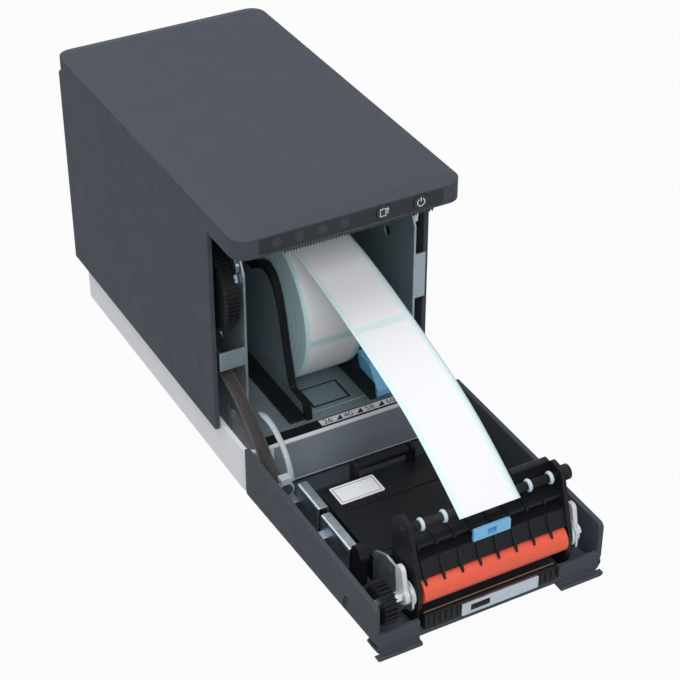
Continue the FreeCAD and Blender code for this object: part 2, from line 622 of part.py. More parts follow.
def latch_hooks():
    piece = Piece("latch_hooks")
    hook = Outline(("latch_y + 5", "latch_z - 5", "4.5"), ("latch_y + 5", "latch_z + 5", "4.5"),
                   ("latch_y - 6", "latch_z + 5", "3"), ("39", "latch_z - 3", "3"),
                   ("33.5", "latch_z - 8", "2"), ("34", "latch_z - 13", "1"),
                   ("37", "latch_z - 15.5", "1"), ("35", "latch_z - 20.5", "1"),
                   ("39.5", "latch_z - 21.5", "2"), ("42.5", "latch_z - 15", "2"),
                   ("44", "latch_z - 10", "3"), ("latch_y - 8", "latch_z - 5", "6"))
    for start in ("bay_left - frame_wall - 0.5 - latch_plate", "bay_right + frame_wall + 0.5"):
        piece.add("YZ", start, f"{start} + latch_plate", hook)
        piece.cut("YZ", start, f"{start} + latch_plate", Circle("latch_y", "latch_z", "latch_radius"))


def latch_shaft():
    piece = Piece("latch_shaft")
    start = "bay_left - frame_wall - 0.5 - latch_plate"
    end = "bay_right + frame_wall + 0.5 + latch_plate"
    piece.add("YZ", start, end, Circle("latch_y", "latch_z", "latch_radius"))


def main_board():
    piece = Piece("main_board")
    board = rectangle("-board_half", "base_floor", "board_half", "board_high")
    piece.add("XZ", "board_y", "board_y + board_thick", board)


def rear_connectors():
    piece = Piece("rear_connectors")
    sockets = (("port_left + 3", "port_left + 16", 16), ("port_left + 21", "port_left + 34", 12),
               ("port_left + 39", "port_left + 50", 11), ("port_left + 54", "port_right - 3", 13))
    start = "board_y + board_thick"
    for left, right, tall in sockets:
        shell = rectangle(left, "port_low + 2", right, f"port_low + 2 + {tall}")
        piece.add("XZ", start, "depth - 1.2", shell)
        mouth = rectangle(f"{left} + 1", "port_low + 3", f"{right} - 1", f"port_low + 1 + {tall}")
        piece.cut("XZ", "depth - 9", "depth - 1.2", mouth)


def front_shell():
    piece = Piece("front_shell")
    side = Outline(("cover_back", "0"), ("cover_back", "cover_high"), ("cover_tip", "cover_high", "3"),
                   ("cover_tip", "tip_rise"))
    piece.add("YZ", f"-{HALF}", HALF, side)
    half, rise = value(HALF), value("tip_rise")

    def lower_long(edge):
        box = edge.BoundBox
        return box.YLength > 50 and box.ZMax < rise + 0.01 and abs(abs(box.Center.x) - half) < 0.01

    piece.dress("Fillet", "cover_corner", lower_long)
    inner = f"({HALF} - case_wall)"
    stop = "(cover_tip + cover_skin)"
    hollow = Outline(("cover_back + 1", cover_floor("cover_back + 1")), ("cover_back + 1", "cover_high + 1"),
                     (stop, "cover_high + 1"), (stop, cover_floor(stop)))
    piece.cut("YZ", f"-{inner}", inner, hollow)
    for start, end in ((f"-{HALF}", f"toe_width - {HALF}"), (f"{HALF} - toe_width", HALF)):
        outer_left = start.startswith("-")
        low, inside = "toe_low", "toe_high - 8"
        points = [(start, low), (end, low), (end, inside), (start, inside)]
        points[0 if outer_left else 1] += ("cover_corner",)
        piece.add("XZ", "cover_tip", "cover_tip + toe_depth", Outline(*points))
        lip = [(start, low), (end, low), (end, f"{low} + flange_thick"), (start, f"{low} + flange_thick")]
        lip[0 if outer_left else 1] += ("flange_thick * 0.95",)
        piece.add("XZ", "cover_tip - flange", "cover_tip", Outline(*lip))
        limits = (f"-{inner}", end) if outer_left else (start, inner)
        piece.cut("XZ", "cover_tip", stop, rectangle(limits[0], "toe_high", limits[1], "cover_high + 1"))
        well = (f"-{inner}", f"{end} - cover_skin") if outer_left else (f"{start} + cover_skin", inner)
        piece.cut("XZ", stop, "cover_tip + toe_depth",
                  rectangle(well[0], "toe_low + cover_skin + 3", well[1], "toe_high"))
    gap = f"({HALF} - toe_width)"
    piece.cut("XZ", "cover_tip", stop, rectangle(f"-{gap}", cover_floor(stop), gap, "cover_high + 1"))
    grip = Outline(("cover_tip + 6", "tip_rise + 1", "4"), ("cover_tip + 6", "tip_rise + 14", "4"),
                   ("cover_tip + 30", "tip_rise + 14", "4"), ("cover_tip + 34", "tip_rise + 1", "4"))
    piece.cut("YZ", f"-{HALF}", f"grip_sink - {HALF}", grip)
    piece.cut("YZ", f"{HALF} - grip_sink", HALF, grip)
    clear = "(arm_half + 2 * lug_gap + lug_width)"
    for spot in ("-hinge_x", "hinge_x"):
        piece.cut("XZ", "hinge_y - lug_radius - lug_gap", "cover_back",
                  rectangle(f"{spot} - {clear}", "-1", f"{spot} + {clear}", "cover_skin + 1"))
        arm = Outline(("hinge_y + lug_radius", "hinge_z - lug_radius", "lug_radius * 0.95"),
                      ("hinge_y + lug_radius", "hinge_z + lug_radius", "lug_radius * 0.95"),
                      ("cover_back - arm_length", "hinge_z + lug_radius"),
                      ("cover_back - arm_length", cover_floor("cover_back - arm_length") + " - 1"),
                      ("hinge_y - lug_radius - lug_gap", "cover_skin / 2"),
                      ("hinge_y - lug_radius / 2", "hinge_z - lug_radius"))
        piece.add("YZ", f"{spot} - arm_half", f"{spot} + arm_half", arm)
        eye = Circle("hinge_y", "hinge_z", "pin_radius + pin_play")
        piece.cut("YZ", f"{spot} - arm_half", f"{spot} + arm_half", eye)


def centre_plate():
    piece = Piece("centre_plate")
    low = "(deck_high - deck_thick)"
    deck = Outline(("-29", "14"), ("-29", "17", "1"), ("-47", "deck_high", "6"), ("-98", "deck_high"),
                   ("-98", low), ("-47.6", low, "6"))
    piece.add("YZ", "-deck_half", "deck_half", deck)
    web = Outline(("-56", cover_floor("-56")), ("-56", low), ("-96", low), ("-96", cover_floor("-96")))
    for start in ("-deck_half", "deck_half - 2"):
        piece.add("YZ", start, f"{start} + 2", web)
    ear = Outline(("damper_y - 3.5", "15"), ("damper_y - 3.5", "damper_z + 3.5", "3"),
                  ("damper_y + 3", "damper_z + 3.5", "3"), ("damper_y + 3", "17"), ("damper_y + 1", "15"))
    for start in ("damper_left - ear_wall - 0.5", "damper_right + 0.5"):
        piece.add("YZ", start, f"{start} + ear_wall", ear)
        piece.cut("YZ", start, f"{start} + ear_wall", Circle("damper_y", "damper_z", "1.5 + pin_play"))
    panel = rectangle("-34", "-94", "40", "-58", "2")
    inset = rectangle("-33.2", "-93.2", "39.2", "-58.8", "1.6")
    piece.cut("XY", "deck_high - 0.6", "deck_high", panel, inset)


def info_label():
    piece = Piece("info_label")
    paper = rectangle("label_left", "label_front", "label_right", "label_back", "1")
    piece.add("XY", "deck_high", "deck_high + label_thick", paper)


def damper_roller():
    piece = Piece("damper_roller")
    piece.add("YZ", "damper_left", "damper_right", Circle("damper_y", "damper_z", "damper_radius"))
    piece.add("YZ", "damper_left - ear_wall - 0.5", "damper_left", Circle("damper_y", "damper_z", "1.5"))
    piece.add("YZ", "damper_right", "damper_right + ear_wall + 0.5", Circle("damper_y", "damper_z", "1.5"))


def channel(label, back, front, high):
    piece = Piece(label)
    side = Outline((back, cover_floor(back)), (back, high), (front, high), (front, cover_floor(front)))
    piece.add("YZ", "channel_left", "channel_right", side)
    top = value(high)
    piece.dress("Fillet", "channel_bend", lambda edge: along(edge, "y") and edge.BoundBox.ZMin > top - 0.01)
    hollow = Outline((f"{back} + 1", f"{cover_floor(back)} - 3"), (f"{back} + 1", f"{high} - channel_wall"),
                     (f"{front} - 1", f"{high} - channel_wall"),
                     (f"{front} - 1", f"{cover_floor(front)} - 3"))
    piece.cut("YZ", "channel_left + channel_wall", "channel_right - channel_wall", hollow)
    return piece


def channels():
    rear = channel("rear_channel", "-33", "-56", "channel_high")
    rest = rectangle("harness_x - 3", "-35", "channel_left + channel_wall / 2", "-26")
    rest_top = "(harness_z - harness_radius - tie_gap - tie_wall - rest_gap)"
    rear.add("XY", f"{rest_top} - channel_wall", rest_top, rest)
    front = channel("front_channel", "-58.5", "-88", "channel_high - 2")
    tab = rectangle("channel_left - 9", "-66", "channel_left", "-60")
    low = "(channel_high - 12)"
    front.add("XY", low, f"{low} + channel_wall", tab)


def lever_bracket():
    piece = Piece("lever_bracket")
    arm = Outline(("-89", cover_floor("-89")), ("-89", "30", "2"), ("-95", "33", "2"), ("-99", "27", "2"),
                  ("-96", "20", "2"), ("-96", cover_floor("-96")))
    piece.add("YZ", "channel_left + 1", "channel_right", arm)


def side_plate(label, start):
    piece = Piece(label)
    nose = "(platen_y - plate_nose)"
    plate = Outline(("-100", cover_floor("-100")), ("-100", "33", "5"), ("-112", "39", "8"),
                    ("-122", "39", "6"), (nose, "platen_z + 6", "4.5"), (nose, "platen_z - 6", "4.5"),
                    ("platen_y", "platen_z - 9", "3"), ("-122", cover_floor("-122")))
    piece.add("YZ", start, f"{start} + plate_wall", plate)
    piece.cut("YZ", start, f"{start} + plate_wall", Circle("platen_y", "platen_z", "bush_radius"))


def platen_bushes():
    piece = Piece("platen_bushes")
    hole = Circle("platen_y", "platen_z", "shaft_radius + pin_play")
    body = Circle("platen_y", "platen_z", "bush_radius")
    collar = Circle("platen_y", "platen_z", "bush_flange")
    piece.add("YZ", "plate_left - 2.4", "plate_left + plate_wall", body, hole)
    piece.add("YZ", "plate_left + plate_wall", "plate_left + plate_wall + 1.4", collar, hole)
    piece.add("YZ", "plate_right", "plate_right + plate_wall + 2.4", body, hole)
    piece.add("YZ", "plate_right - 1.2", "plate_right", collar, hole)
    arm = Outline(("platen_y - 3", "platen_z + 4.2"), ("platen_y + 4.6", "platen_z + 2"),
                  ("platen_y + 6", "platen_z + 16", "2.8"), ("platen_y", "platen_z + 17", "2.8"))
    piece.add("YZ", "plate_left - 2.4", "plate_left", arm)
    piece.add("YZ", "plate_right + plate_wall", "plate_right + plate_wall + 2.4", arm)


def platen():
    shaft = Piece("platen_shaft")
    shaft.add("YZ", "shaft_left", "shaft_right", Circle("platen_y", "platen_z", "shaft_radius"))
    rubber = Piece("platen_rubber")
    rubber.add("YZ", PLATEN_LEFT, PLATEN_RIGHT, Circle("platen_y", "platen_z", "platen_radius"),
               Circle("platen_y", "platen_z", "shaft_radius"))
    gear("platen_gear", "platen_y", "platen_z", "platen_teeth", "shaft_radius")


def guide_frame():
    piece = Piece("guide_frame")
    back = "(roller_y + 11)"
    cheek = Outline((back, cover_floor(back)), (back, "roller_z", "2"), ("roller_y + 5", "roller_z + 6", "3"),
                    ("roller_y - 4", "roller_z + 5", "3"), ("platen_y - 3.5", "40", "3"),
                    ("platen_y - 6", "34", "2"),
                    ("platen_y - 6", "22", "2"), ("platen_y - 3", cover_floor("platen_y - 3")))
    for start in ("guide_left", "guide_right - cheek"):
        piece.add("YZ", start, f"{start} + cheek", cheek)
        piece.cut("YZ", start, f"{start} + cheek", Circle("platen_y", "platen_z", "shaft_radius + 0.6"),
                  Circle("roller_y", "roller_z", "journal_radius + pin_play"))
    left, right = "guide_left + cheek", "guide_right - cheek"
    wall = Outline((back, cover_floor(back)), (back, "54.2"), (f"{back} - 2.2", "54.2"),
                   (f"{back} - 2.2", cover_floor(f"{back} - 2.2")))
    piece.add("YZ", left, right, wall)
    lower = Outline((f"{back} - 2.2", "43.6"), (f"{back} - 2.2", "45.8"), ("platen_y + 0.5", "45.8", "1"),
                    ("platen_y - 3.4", "37.4"), ("platen_y - 1", "37.4"), ("platen_y + 1.8", "43.6", "1"))
    piece.add("YZ", left, right, lower)
    upper = Outline((f"{back} - 2.2", "50.8"), (f"{back} - 2.2", "53"), ("roller_y - 1.4", "53", "1"),
                    ("roller_y - 5", "52.2", "1"), ("roller_y - 5", "50.8"))
    piece.add("YZ", left, right, upper)
    block = Outline((back, "54"), (back, "roller_z + 5", "2"), ("roller_y + 6.2", "roller_z + 5", "1"),
                    ("roller_y + 6.2", "54"), (f"{back} - 2.2", "53"))
    piece.add("YZ", f"{right} - 22", right, block)
    rib = Outline(("platen_y + 0.2", "46.2"), ("platen_y - 4.2", "37.4"), ("platen_y - 3", "37.4"),
                  ("platen_y + 1.5", "45.6"))
    first = piece.add("YZ", f"{left} + 2", f"{left} + 2 + rib_width", rib)
    piece.row(first, "X", "rib_pitch", 9)
    crest = Outline(("roller_y - 5.6", "50.8"), ("roller_y - 5.6", "52.6", "0.6"),
                    ("roller_y - 1.4", "53.6", "0.6"), ("roller_y - 1.4", "50.8"))
    first = piece.add("YZ", f"{left} + 2", f"{left} + 2 + rib_width", crest)
    piece.row(first, "X", "rib_pitch", 9)


def guide_roller():
    shaft = Piece("guide_roller")
    place = ("roller_y", "roller_z")
    shaft.add("YZ", "guide_left + cheek + 0.5", "guide_right - cheek - 0.5", Circle(*place, "roller_radius"))
    shaft.add("YZ", "guide_left - 1", "guide_left + cheek + 0.5", Circle(*place, "journal_radius"))
    shaft.add("YZ", "guide_right - cheek - 0.5", "guide_right + 1", Circle(*place, "journal_radius"))
    shaft.add("YZ", "guide_right + 1", "guide_right + 5", Circle(*place, "knob_radius"))
    rings = Piece("guide_rings")
    for spot in ("guide_left + 9", "guide_left + 21.6", "guide_right - 18.4", "guide_right - 6"):
        rings.add("YZ", f"{spot} - ring_width / 2", f"{spot} + ring_width / 2", Circle(*place, "ring_radius"),
                  Circle(*place, "roller_radius"))


def sensor():
    rail = Piece("sensor_rail")
    rail.add("YZ", "guide_left + cheek", "guide_right - cheek", Circle("rail_y", "rail_z", "rail_radius"))
    piece = Piece("sensor_slider")
    left, right = "(media_x - slider_half)", "(media_x + slider_half)"
    stem = rectangle("slider_front", "slider_low", "rail_y + 3", "slider_high - 3.2")
    piece.add("YZ", f"{left} + 3", f"{right} - 3", stem)
    face = Outline((left, "slider_low"), (right, "slider_low"), (right, "slider_high", "1"),
                   (left, "slider_high", "1"))
    piece.add("XZ", "slider_front", "slider_front + slider_skin", face)
    piece.cut("YZ", f"{left} + 3", f"{right} - 3", Circle("rail_y", "rail_z", "rail_radius + slider_play"))
    window = rectangle("media_x - window / 2", "slider_low + 1", "media_x + window / 2", "slider_high - 2")
    piece.cut("XZ", "slider_front", "slider_front + slider_skin + 2", window)


def lip():
    bar = Piece("lip_bar")
    front, back = "cover_tip", "(cover_tip + lip_depth)"
    profile = Outline((back, cover_floor(back)), (back, "lip_high", "1"), (front, "lip_high", "1"),
                      (front, cover_floor(front)))
    bar.add("YZ", "-lip_half", "lip_half", profile)
    for start in ("-lip_half + 2", "lip_plate_right + 1.6"):
        rib = rectangle(start, "11.5", f"{start} + rib_width", "lip_high - 1")
        first = bar.add("XZ", "cover_tip - rib_high", "cover_tip", rib)
        bar.row(first, "X", "3.2", 6 if start.startswith("-") else 3)
    plate = Piece("lip_plate")
    face = rectangle("lip_plate_left", "11", "lip_plate_right", "lip_high - 0.5", "0.8")
    slot = rectangle("lip_plate_left + 5", "12.6", "lip_plate_left + 16", "lip_high - 2.4", "0.6")
    plate.add("XZ", "cover_tip - lip_plate_thick", "cover_tip", face, slot)
    wire = Piece("discharge_wire")
    strand = Circle("cover_tip + 2.2", "lip_high + wire_radius", "wire_radius")
    wire.add("YZ", "guide_left + cheek + 0.4", "lip_half", strand)


def harness_route():
    """Points of the sleeve's middle line, from inside the case to the cover."""
    return [("58", "58"), ("38", "56"), ("18", "47"), ("2", "36"), ("-12", "harness_z"),
            ("-30.4", "harness_z")]


def harness_sleeve():
    body = doc.addObject("Part::Feature", "harness_sleeve")
    body.Label = "harness_sleeve"
    across = value("harness_x")
    shift = value("depth / 2")
    points = [Vector(across, value(y) - shift, value(z)) for y, z in harness_route()]
    edges = []
    last = points[0]
    for before, here, after in zip(points, points[1:], points[2:]):
        toward, onward = (here - before).normalize(), (after - here).normalize()
        half_turn = toward.getAngle(onward) / 2
        reach = 0.45 * min((here - before).Length, (after - here).Length)
        start, stop = here - toward * reach, here + onward * reach
        inward = (onward - toward).normalize()
        radius = reach / math.tan(half_turn)
        middle = here + inward * (radius / math.cos(half_turn) - radius)
        edges += [Part.LineSegment(last, start).toShape(), Part.Arc(start, middle, stop).toShape()]
        print(f"harness bend radius {radius:.1f}")
        last = stop
    edges.append(Part.LineSegment(last, points[-1]).toShape())
    path = Part.Wire(edges)
    ring = Part.Circle(points[0], points[1] - points[0], value("harness_radius")).toShape()
    body.Shape = path.makePipeShell([Part.Wire([ring])], True, False)
    BODIES.append(body)


def cable_tie():
    piece = Piece("cable_tie", ("harness_x", "0", "harness_z"))
    inner = "(harness_radius + tie_gap)"
    piece.add("XZ", "-29.6", "-29.6 + tie_width", Circle("0", "0", f"{inner} + tie_wall"),
              Circle("0", "0", inner))
    head = rectangle("-3", f"{inner} + 0.5", "3", f"{inner} + 4.5", "1")
    piece.add("XZ", "-30.4", "-25.8", head)


base_tray()
rubber_feet()
hinge_pins()
upper_case()
rear_cover()
case_screws()
control_panel()
status_lenses()
button("power_button", "power_x")
button("feed_button", "feed_x")
tear_bar()
left_frame()
right_frame()
top_brace()
roll_tray()
scale_strip()
roll_guide("left_guide", f"({WEB_LEFT} - guide_gap)", -1)
roll_guide("right_guide", f"({WEB_RIGHT} + guide_gap)", 1)
guide_lock()
label_roll()
roll_core()
label_web()
print_head()
heat_sink()
head_springs()
drive_train()
drive_motor()
latch_hooks()
latch_shaft()
main_board()
rear_connectors()
front_shell()
centre_plate()
info_label()
damper_roller()
channels()
lever_bracket()
side_plate("left_side_plate", "plate_left")
side_plate("right_side_plate", "plate_right")
platen_bushes()
platen()
guide_frame()
guide_roller()
sensor()
lip()
harness_sleeve()
cable_tie()

doc.recompute()
for item in doc.Objects:
    if "Invalid" in item.State or "Error" in item.State:
        raise RuntimeError(f"{item.Label}: {item.State}")

os.makedirs("parts", exist_ok=True)
for body in BODIES:
    shape = body.Shape
    if shape.isNull() or not shape.isValid() or shape.Volume <= 0:
        raise RuntimeError(f"{body.Label}: bad shape")
    shape.exportStep(f"parts/{body.Label}.step")
print(f"{len(BODIES)} parts")
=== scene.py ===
"""Front-opening label printer with its cover swung down: finishes, soft pieces, prints, light and camera."""
import json
import math
import bpy
import numpy as np
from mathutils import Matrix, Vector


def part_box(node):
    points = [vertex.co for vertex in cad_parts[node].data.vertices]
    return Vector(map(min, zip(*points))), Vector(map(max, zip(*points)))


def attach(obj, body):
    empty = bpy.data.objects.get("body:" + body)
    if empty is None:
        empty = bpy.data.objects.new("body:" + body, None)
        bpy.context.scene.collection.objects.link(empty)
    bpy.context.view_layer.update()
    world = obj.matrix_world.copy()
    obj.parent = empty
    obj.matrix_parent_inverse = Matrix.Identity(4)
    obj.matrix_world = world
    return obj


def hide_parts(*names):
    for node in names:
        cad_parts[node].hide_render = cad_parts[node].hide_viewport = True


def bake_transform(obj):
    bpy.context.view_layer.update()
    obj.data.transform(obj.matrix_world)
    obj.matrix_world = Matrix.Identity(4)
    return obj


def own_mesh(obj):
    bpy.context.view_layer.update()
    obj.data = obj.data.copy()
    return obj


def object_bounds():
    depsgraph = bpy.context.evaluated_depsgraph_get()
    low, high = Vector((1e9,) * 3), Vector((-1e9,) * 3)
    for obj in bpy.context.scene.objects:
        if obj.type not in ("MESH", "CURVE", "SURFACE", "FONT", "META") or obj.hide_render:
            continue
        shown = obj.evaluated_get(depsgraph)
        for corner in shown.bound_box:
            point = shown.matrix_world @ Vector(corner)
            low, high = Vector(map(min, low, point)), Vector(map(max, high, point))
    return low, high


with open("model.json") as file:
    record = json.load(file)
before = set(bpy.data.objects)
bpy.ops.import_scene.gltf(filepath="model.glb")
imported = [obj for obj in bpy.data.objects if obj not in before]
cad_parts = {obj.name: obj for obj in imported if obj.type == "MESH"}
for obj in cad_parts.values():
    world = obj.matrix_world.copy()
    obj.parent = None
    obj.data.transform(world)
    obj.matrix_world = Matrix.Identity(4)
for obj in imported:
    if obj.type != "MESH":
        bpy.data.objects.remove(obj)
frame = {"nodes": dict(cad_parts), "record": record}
cad_box = [[float(value) for value in corner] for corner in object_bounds()]

MM = 0.001
BEZEL_Y = 118.0


def place(points):
    """Millimetre points, with y counted from the bezel's front plane, in the frame's metres."""
    return (np.asarray(points, float) - (0.0, BEZEL_Y, 0.0)) * MM


# surfaces

def new_piece(name, points, faces):
    """An object at the origin, from points in the frame's metres and faces as rows of point numbers."""
    mesh = bpy.data.meshes.new(name)
    mesh.from_pydata(np.reshape(points, (-1, 3)).tolist(), [], faces)
    piece = bpy.data.objects.new(name, mesh)
    bpy.context.collection.objects.link(piece)
    return piece


def surface(name, grid, uv, around=False, loop=False, smooth=True):
    """A mesh from rows and columns of points; around joins the last column to the first, loop the last row.

    Each grid cell becomes one four-sided face, and uv holds one pair per corner of the opened grid."""
    rows, columns = grid.shape[:2]
    index = np.arange(rows * columns).reshape(rows, columns)
    if around:
        index = np.concatenate([index, index[:, :1]], axis=1)
    if loop:
        index = np.concatenate([index, index[:1]], axis=0)
    here, onward = slice(0, -1), slice(1, None)
    corners = (here, here), (onward, here), (onward, onward), (here, onward)
    faces = np.stack([index[corner] for corner in corners], axis=-1).reshape(-1, 4)
    spread = np.stack([uv[corner] for corner in corners], axis=-2)
    piece = new_piece(name, grid, faces.tolist())
    piece.data.uv_layers.new(name="UVMap").data.foreach_set("uv", spread.astype(np.float32).ravel())
    piece.data.polygons.foreach_set("use_smooth", np.full(len(faces), smooth))
    return piece


def read_curve(curve):
    """The points and faces that a curve or text gives as a mesh; the curve itself is then removed."""
    holder = bpy.data.objects.new(curve.name, curve)
    mesh = bpy.data.meshes.new_from_object(holder)
    points = np.zeros(len(mesh.vertices) * 3, np.float32)
    mesh.vertices.foreach_get("co", points)
    faces = [tuple(face.vertices) for face in mesh.polygons]
    bpy.data.objects.remove(holder)
    bpy.data.curves.remove(curve)
    bpy.data.meshes.remove(mesh)
    return points.reshape(-1, 3).astype(float), faces


def eased(points, count):
    """A cubic B-spline: every point is a weighted mean of four control points in a row, ends tripled."""
    points = np.asarray(points, float)
    control = np.concatenate([points[:1], points[:1], points, points[-1:], points[-1:]])
    travel = np.linspace(0, len(control) - 3 - 1e-9, count)
    start = travel.astype(int)
    part = (travel - start)[:, None]
    weights = ((1 - part) ** 3, 3 * part ** 3 - 6 * part ** 2 + 4,
               -3 * part ** 3 + 3 * part ** 2 + 3 * part + 1, part ** 3)
    return sum(weight * control[start + step] for step, weight in enumerate(weights)) / 6


def lengths(line):
    """Distance along a line of points, from its start to each point."""
    steps = np.linalg.norm(np.diff(line, axis=0), axis=1)
    return np.concatenate([[0.0], np.cumsum(steps)])


def opened(u, v):
    """A grid of pairs from two rows of numbers."""
    return np.stack(np.meshgrid(u, v, indexing="ij"), axis=-1)


# nodes

def add(tree, kind, inputs=(), **settings):
    """A node with its settings, and its inputs given as values or as sockets to link."""
    made = tree.nodes.new(kind)
    for key, value in settings.items():
        setattr(made, key, value)
    for key, value in dict(inputs).items():
        if isinstance(value, bpy.types.NodeSocket):
            tree.links.new(value, made.inputs[key])
        else:
            made.inputs[key].default_value = value
    return made


def math_node(tree, kind, first, second=0.0, third=0.0):
    """The value socket of one arithmetic node."""
    return add(tree, "ShaderNodeMath", {0: first, 1: second, 2: third}, operation=kind).outputs[0]


def opaque(colour):
    """A colour with full alpha; a socket or a plain value stays as it is."""
    return (*colour, 1.0) if isinstance(colour, tuple) else colour


def tint(tree, mask, low, high):
    """A colour between two, by a mask."""
    return add(tree, "ShaderNodeMix", {0: mask, 6: opaque(low), 7: opaque(high)}, data_type="RGBA").outputs[2]


def span(tree, value, low, high, to_low=0.0, to_high=1.0):
    """A value carried from one range to another, held at its ends."""
    made = add(tree, "ShaderNodeMapRange", {0: value, 1: low, 2: high, 3: to_low, 4: to_high})
    return made.outputs[0]


def coordinate(tree, kind):
    """The three numbers of a texture coordinate, Object or UV."""
    return add(tree, "ShaderNodeSeparateXYZ", {0: add(tree, "ShaderNodeTexCoord").outputs[kind]}).outputs


def in_view(tree):
    """A mask: 1 for what the camera sees, straight or in a reflection, and 0 for light that spreads."""
    path = add(tree, "ShaderNodeLightPath").outputs
    mirrored = math_node(tree, "MAXIMUM", path["Is Glossy Ray"], path["Is Transmission Ray"])
    return math_node(tree, "MAXIMUM", path["Is Camera Ray"], mirrored)


def group(name, inputs, outputs):
    """An empty node group with named sockets, and its two end nodes."""
    tree = bpy.data.node_groups.new(name, "ShaderNodeTree")
    for label, kind in inputs:
        tree.interface.new_socket(label, in_out="INPUT", socket_type=kind)
    for label, kind in outputs:
        tree.interface.new_socket(label, in_out="OUTPUT", socket_type=kind)
    return tree, tree.nodes.new("NodeGroupInput").outputs, tree.nodes.new("NodeGroupOutput").inputs


VALUE, COLOUR, VECTOR = "NodeSocketFloat", "NodeSocketColor", "NodeSocketVector"


def make_edge_highlight():
    """Rounded normals along sharp edges, and a mask that is high where they turn away from the flat face; the
    finishes use this mask to paint a lighter highlight on the edges.
    """
    tree, given, put = group("bevel_and_painted_highlight", [("Radius", VALUE)], [("Normal", VECTOR), ("Edge", VALUE)])
    rounded = add(tree, "ShaderNodeBevel", {"Radius": given["Radius"]}, samples=4).outputs[0]
    flat = add(tree, "ShaderNodeNewGeometry").outputs["Normal"]
    along = add(tree, "ShaderNodeVectorMath", {0: rounded, 1: flat}, operation="DOT_PRODUCT").outputs["Value"]
    tree.links.new(rounded, put["Normal"])
    tree.links.new(span(tree, along, 0.995, 0.86), put["Edge"])
    return tree


def make_moulded_grain():
    """Spark-eroded mould texture: fine noise for height, broad noise for tone and smudged gloss."""
    tree, given, put = group(
        "moulded_grain",
        [("Light", COLOUR), ("Dark", COLOUR), ("Grain", VALUE), ("Gloss low", VALUE), ("Gloss high", VALUE)],
        [("Colour", COLOUR), ("Roughness", VALUE), ("Height", VALUE)])
    where = add(tree, "ShaderNodeTexCoord").outputs["Object"]
    fine = add(tree, "ShaderNodeTexNoise", {"Vector": where, "Scale": given["Grain"], "Detail": 2.0})
    broad = add(tree, "ShaderNodeTexNoise", {"Vector": where, "Scale": 28.0, "Detail": 4.0})
    smudge = add(tree, "ShaderNodeTexNoise", {"Vector": where, "Scale": 70.0, "Detail": 5.0,
                                              "Distortion": 1.2})
    speck = span(tree, fine.outputs[0], 0.35, 0.65)
    tone = math_node(tree, "MULTIPLY_ADD", speck, 0.8, math_node(tree, "MULTIPLY", broad.outputs[0], 0.2))
    tree.links.new(tint(tree, tone, given["Dark"], given["Light"]), put["Colour"])
    tree.links.new(span(tree, smudge.outputs[0], 0.3, 0.7, given["Gloss low"], given["Gloss high"]),
                   put["Roughness"])
    tree.links.new(fine.outputs[0], put["Height"])
    return tree


def make_rolled_metal():
    """Zinc spangle cells over fine rolling lines: cells give tone, stretched noise gives lines and gloss."""
    tree, given, put = group(
        "rolled_metal",
        [("Light", COLOUR), ("Dark", COLOUR), ("Spangle", VALUE), ("Gloss low", VALUE),
         ("Gloss high", VALUE)],
        [("Colour", COLOUR), ("Roughness", VALUE), ("Height", VALUE)])
    where = add(tree, "ShaderNodeTexCoord").outputs["Object"]
    cells = add(tree, "ShaderNodeTexVoronoi", {"Vector": where, "Scale": given["Spangle"]})
    cell_tone = add(tree, "ShaderNodeSeparateColor", {0: cells.outputs["Color"]}).outputs[0]
    drawn = add(tree, "ShaderNodeMapping", {"Vector": where, "Scale": (2500.0, 60.0, 2500.0)}).outputs[0]
    lines = add(tree, "ShaderNodeTexNoise", {"Vector": drawn, "Scale": 1.0, "Detail": 3.0})
    tone = math_node(tree, "MULTIPLY_ADD", cell_tone, 0.4, math_node(tree, "MULTIPLY", lines.outputs[0], 0.6))
    tree.links.new(tint(tree, tone, given["Dark"], given["Light"]), put["Colour"])
    tree.links.new(span(tree, tone, 0.2, 0.8, given["Gloss low"], given["Gloss high"]), put["Roughness"])
    tree.links.new(lines.outputs[0], put["Height"])
    return tree


def make_label_web():
    """Die-cut labels on a liner: a mask that is 1 on paper, from millimetres across and along, and fibres."""
    tree, given, put = group(
        "label_web_print",
        [("Across", VALUE), ("Along", VALUE), ("Half width", VALUE), ("Pitch", VALUE), ("Gap", VALUE)],
        [("Paper", VALUE), ("Fibre", VALUE)])
    side = math_node(tree, "SUBTRACT", given["Half width"], math_node(tree, "ABSOLUTE", given["Across"]))
    turn = math_node(tree, "FRACT", math_node(tree, "DIVIDE", given["Along"], given["Pitch"]))
    centred = math_node(tree, "ABSOLUTE", math_node(tree, "SUBTRACT", turn, 0.5))
    ends = math_node(tree, "MULTIPLY", math_node(tree, "SUBTRACT", 0.5, centred), given["Pitch"])
    ends = math_node(tree, "SUBTRACT", ends, math_node(tree, "MULTIPLY", given["Gap"], 0.5))
    inner = math_node(tree, "SMOOTH_MIN", side, ends, 1.2)
    tree.links.new(span(tree, inner, -0.06, 0.06), put["Paper"])
    where = add(tree, "ShaderNodeTexCoord").outputs["Object"]
    fibre = add(tree, "ShaderNodeTexNoise", {"Vector": where, "Scale": 1400.0, "Detail": 4.0})
    tree.links.new(fibre.outputs[0], put["Fibre"])
    return tree


EDGE_HIGHLIGHT = make_edge_highlight()
MOULDED_GRAIN = make_moulded_grain()
ROLLED_METAL = make_rolled_metal()
LABEL_WEB = make_label_web()


def use(tree, source, **inputs):
    """The outputs of a node group placed with its own values; underscores in a key stand for spaces."""
    values = {key.replace("_", " "): opaque(value) for key, value in inputs.items()}
    return add(tree, "ShaderNodeGroup", values, node_tree=source).outputs


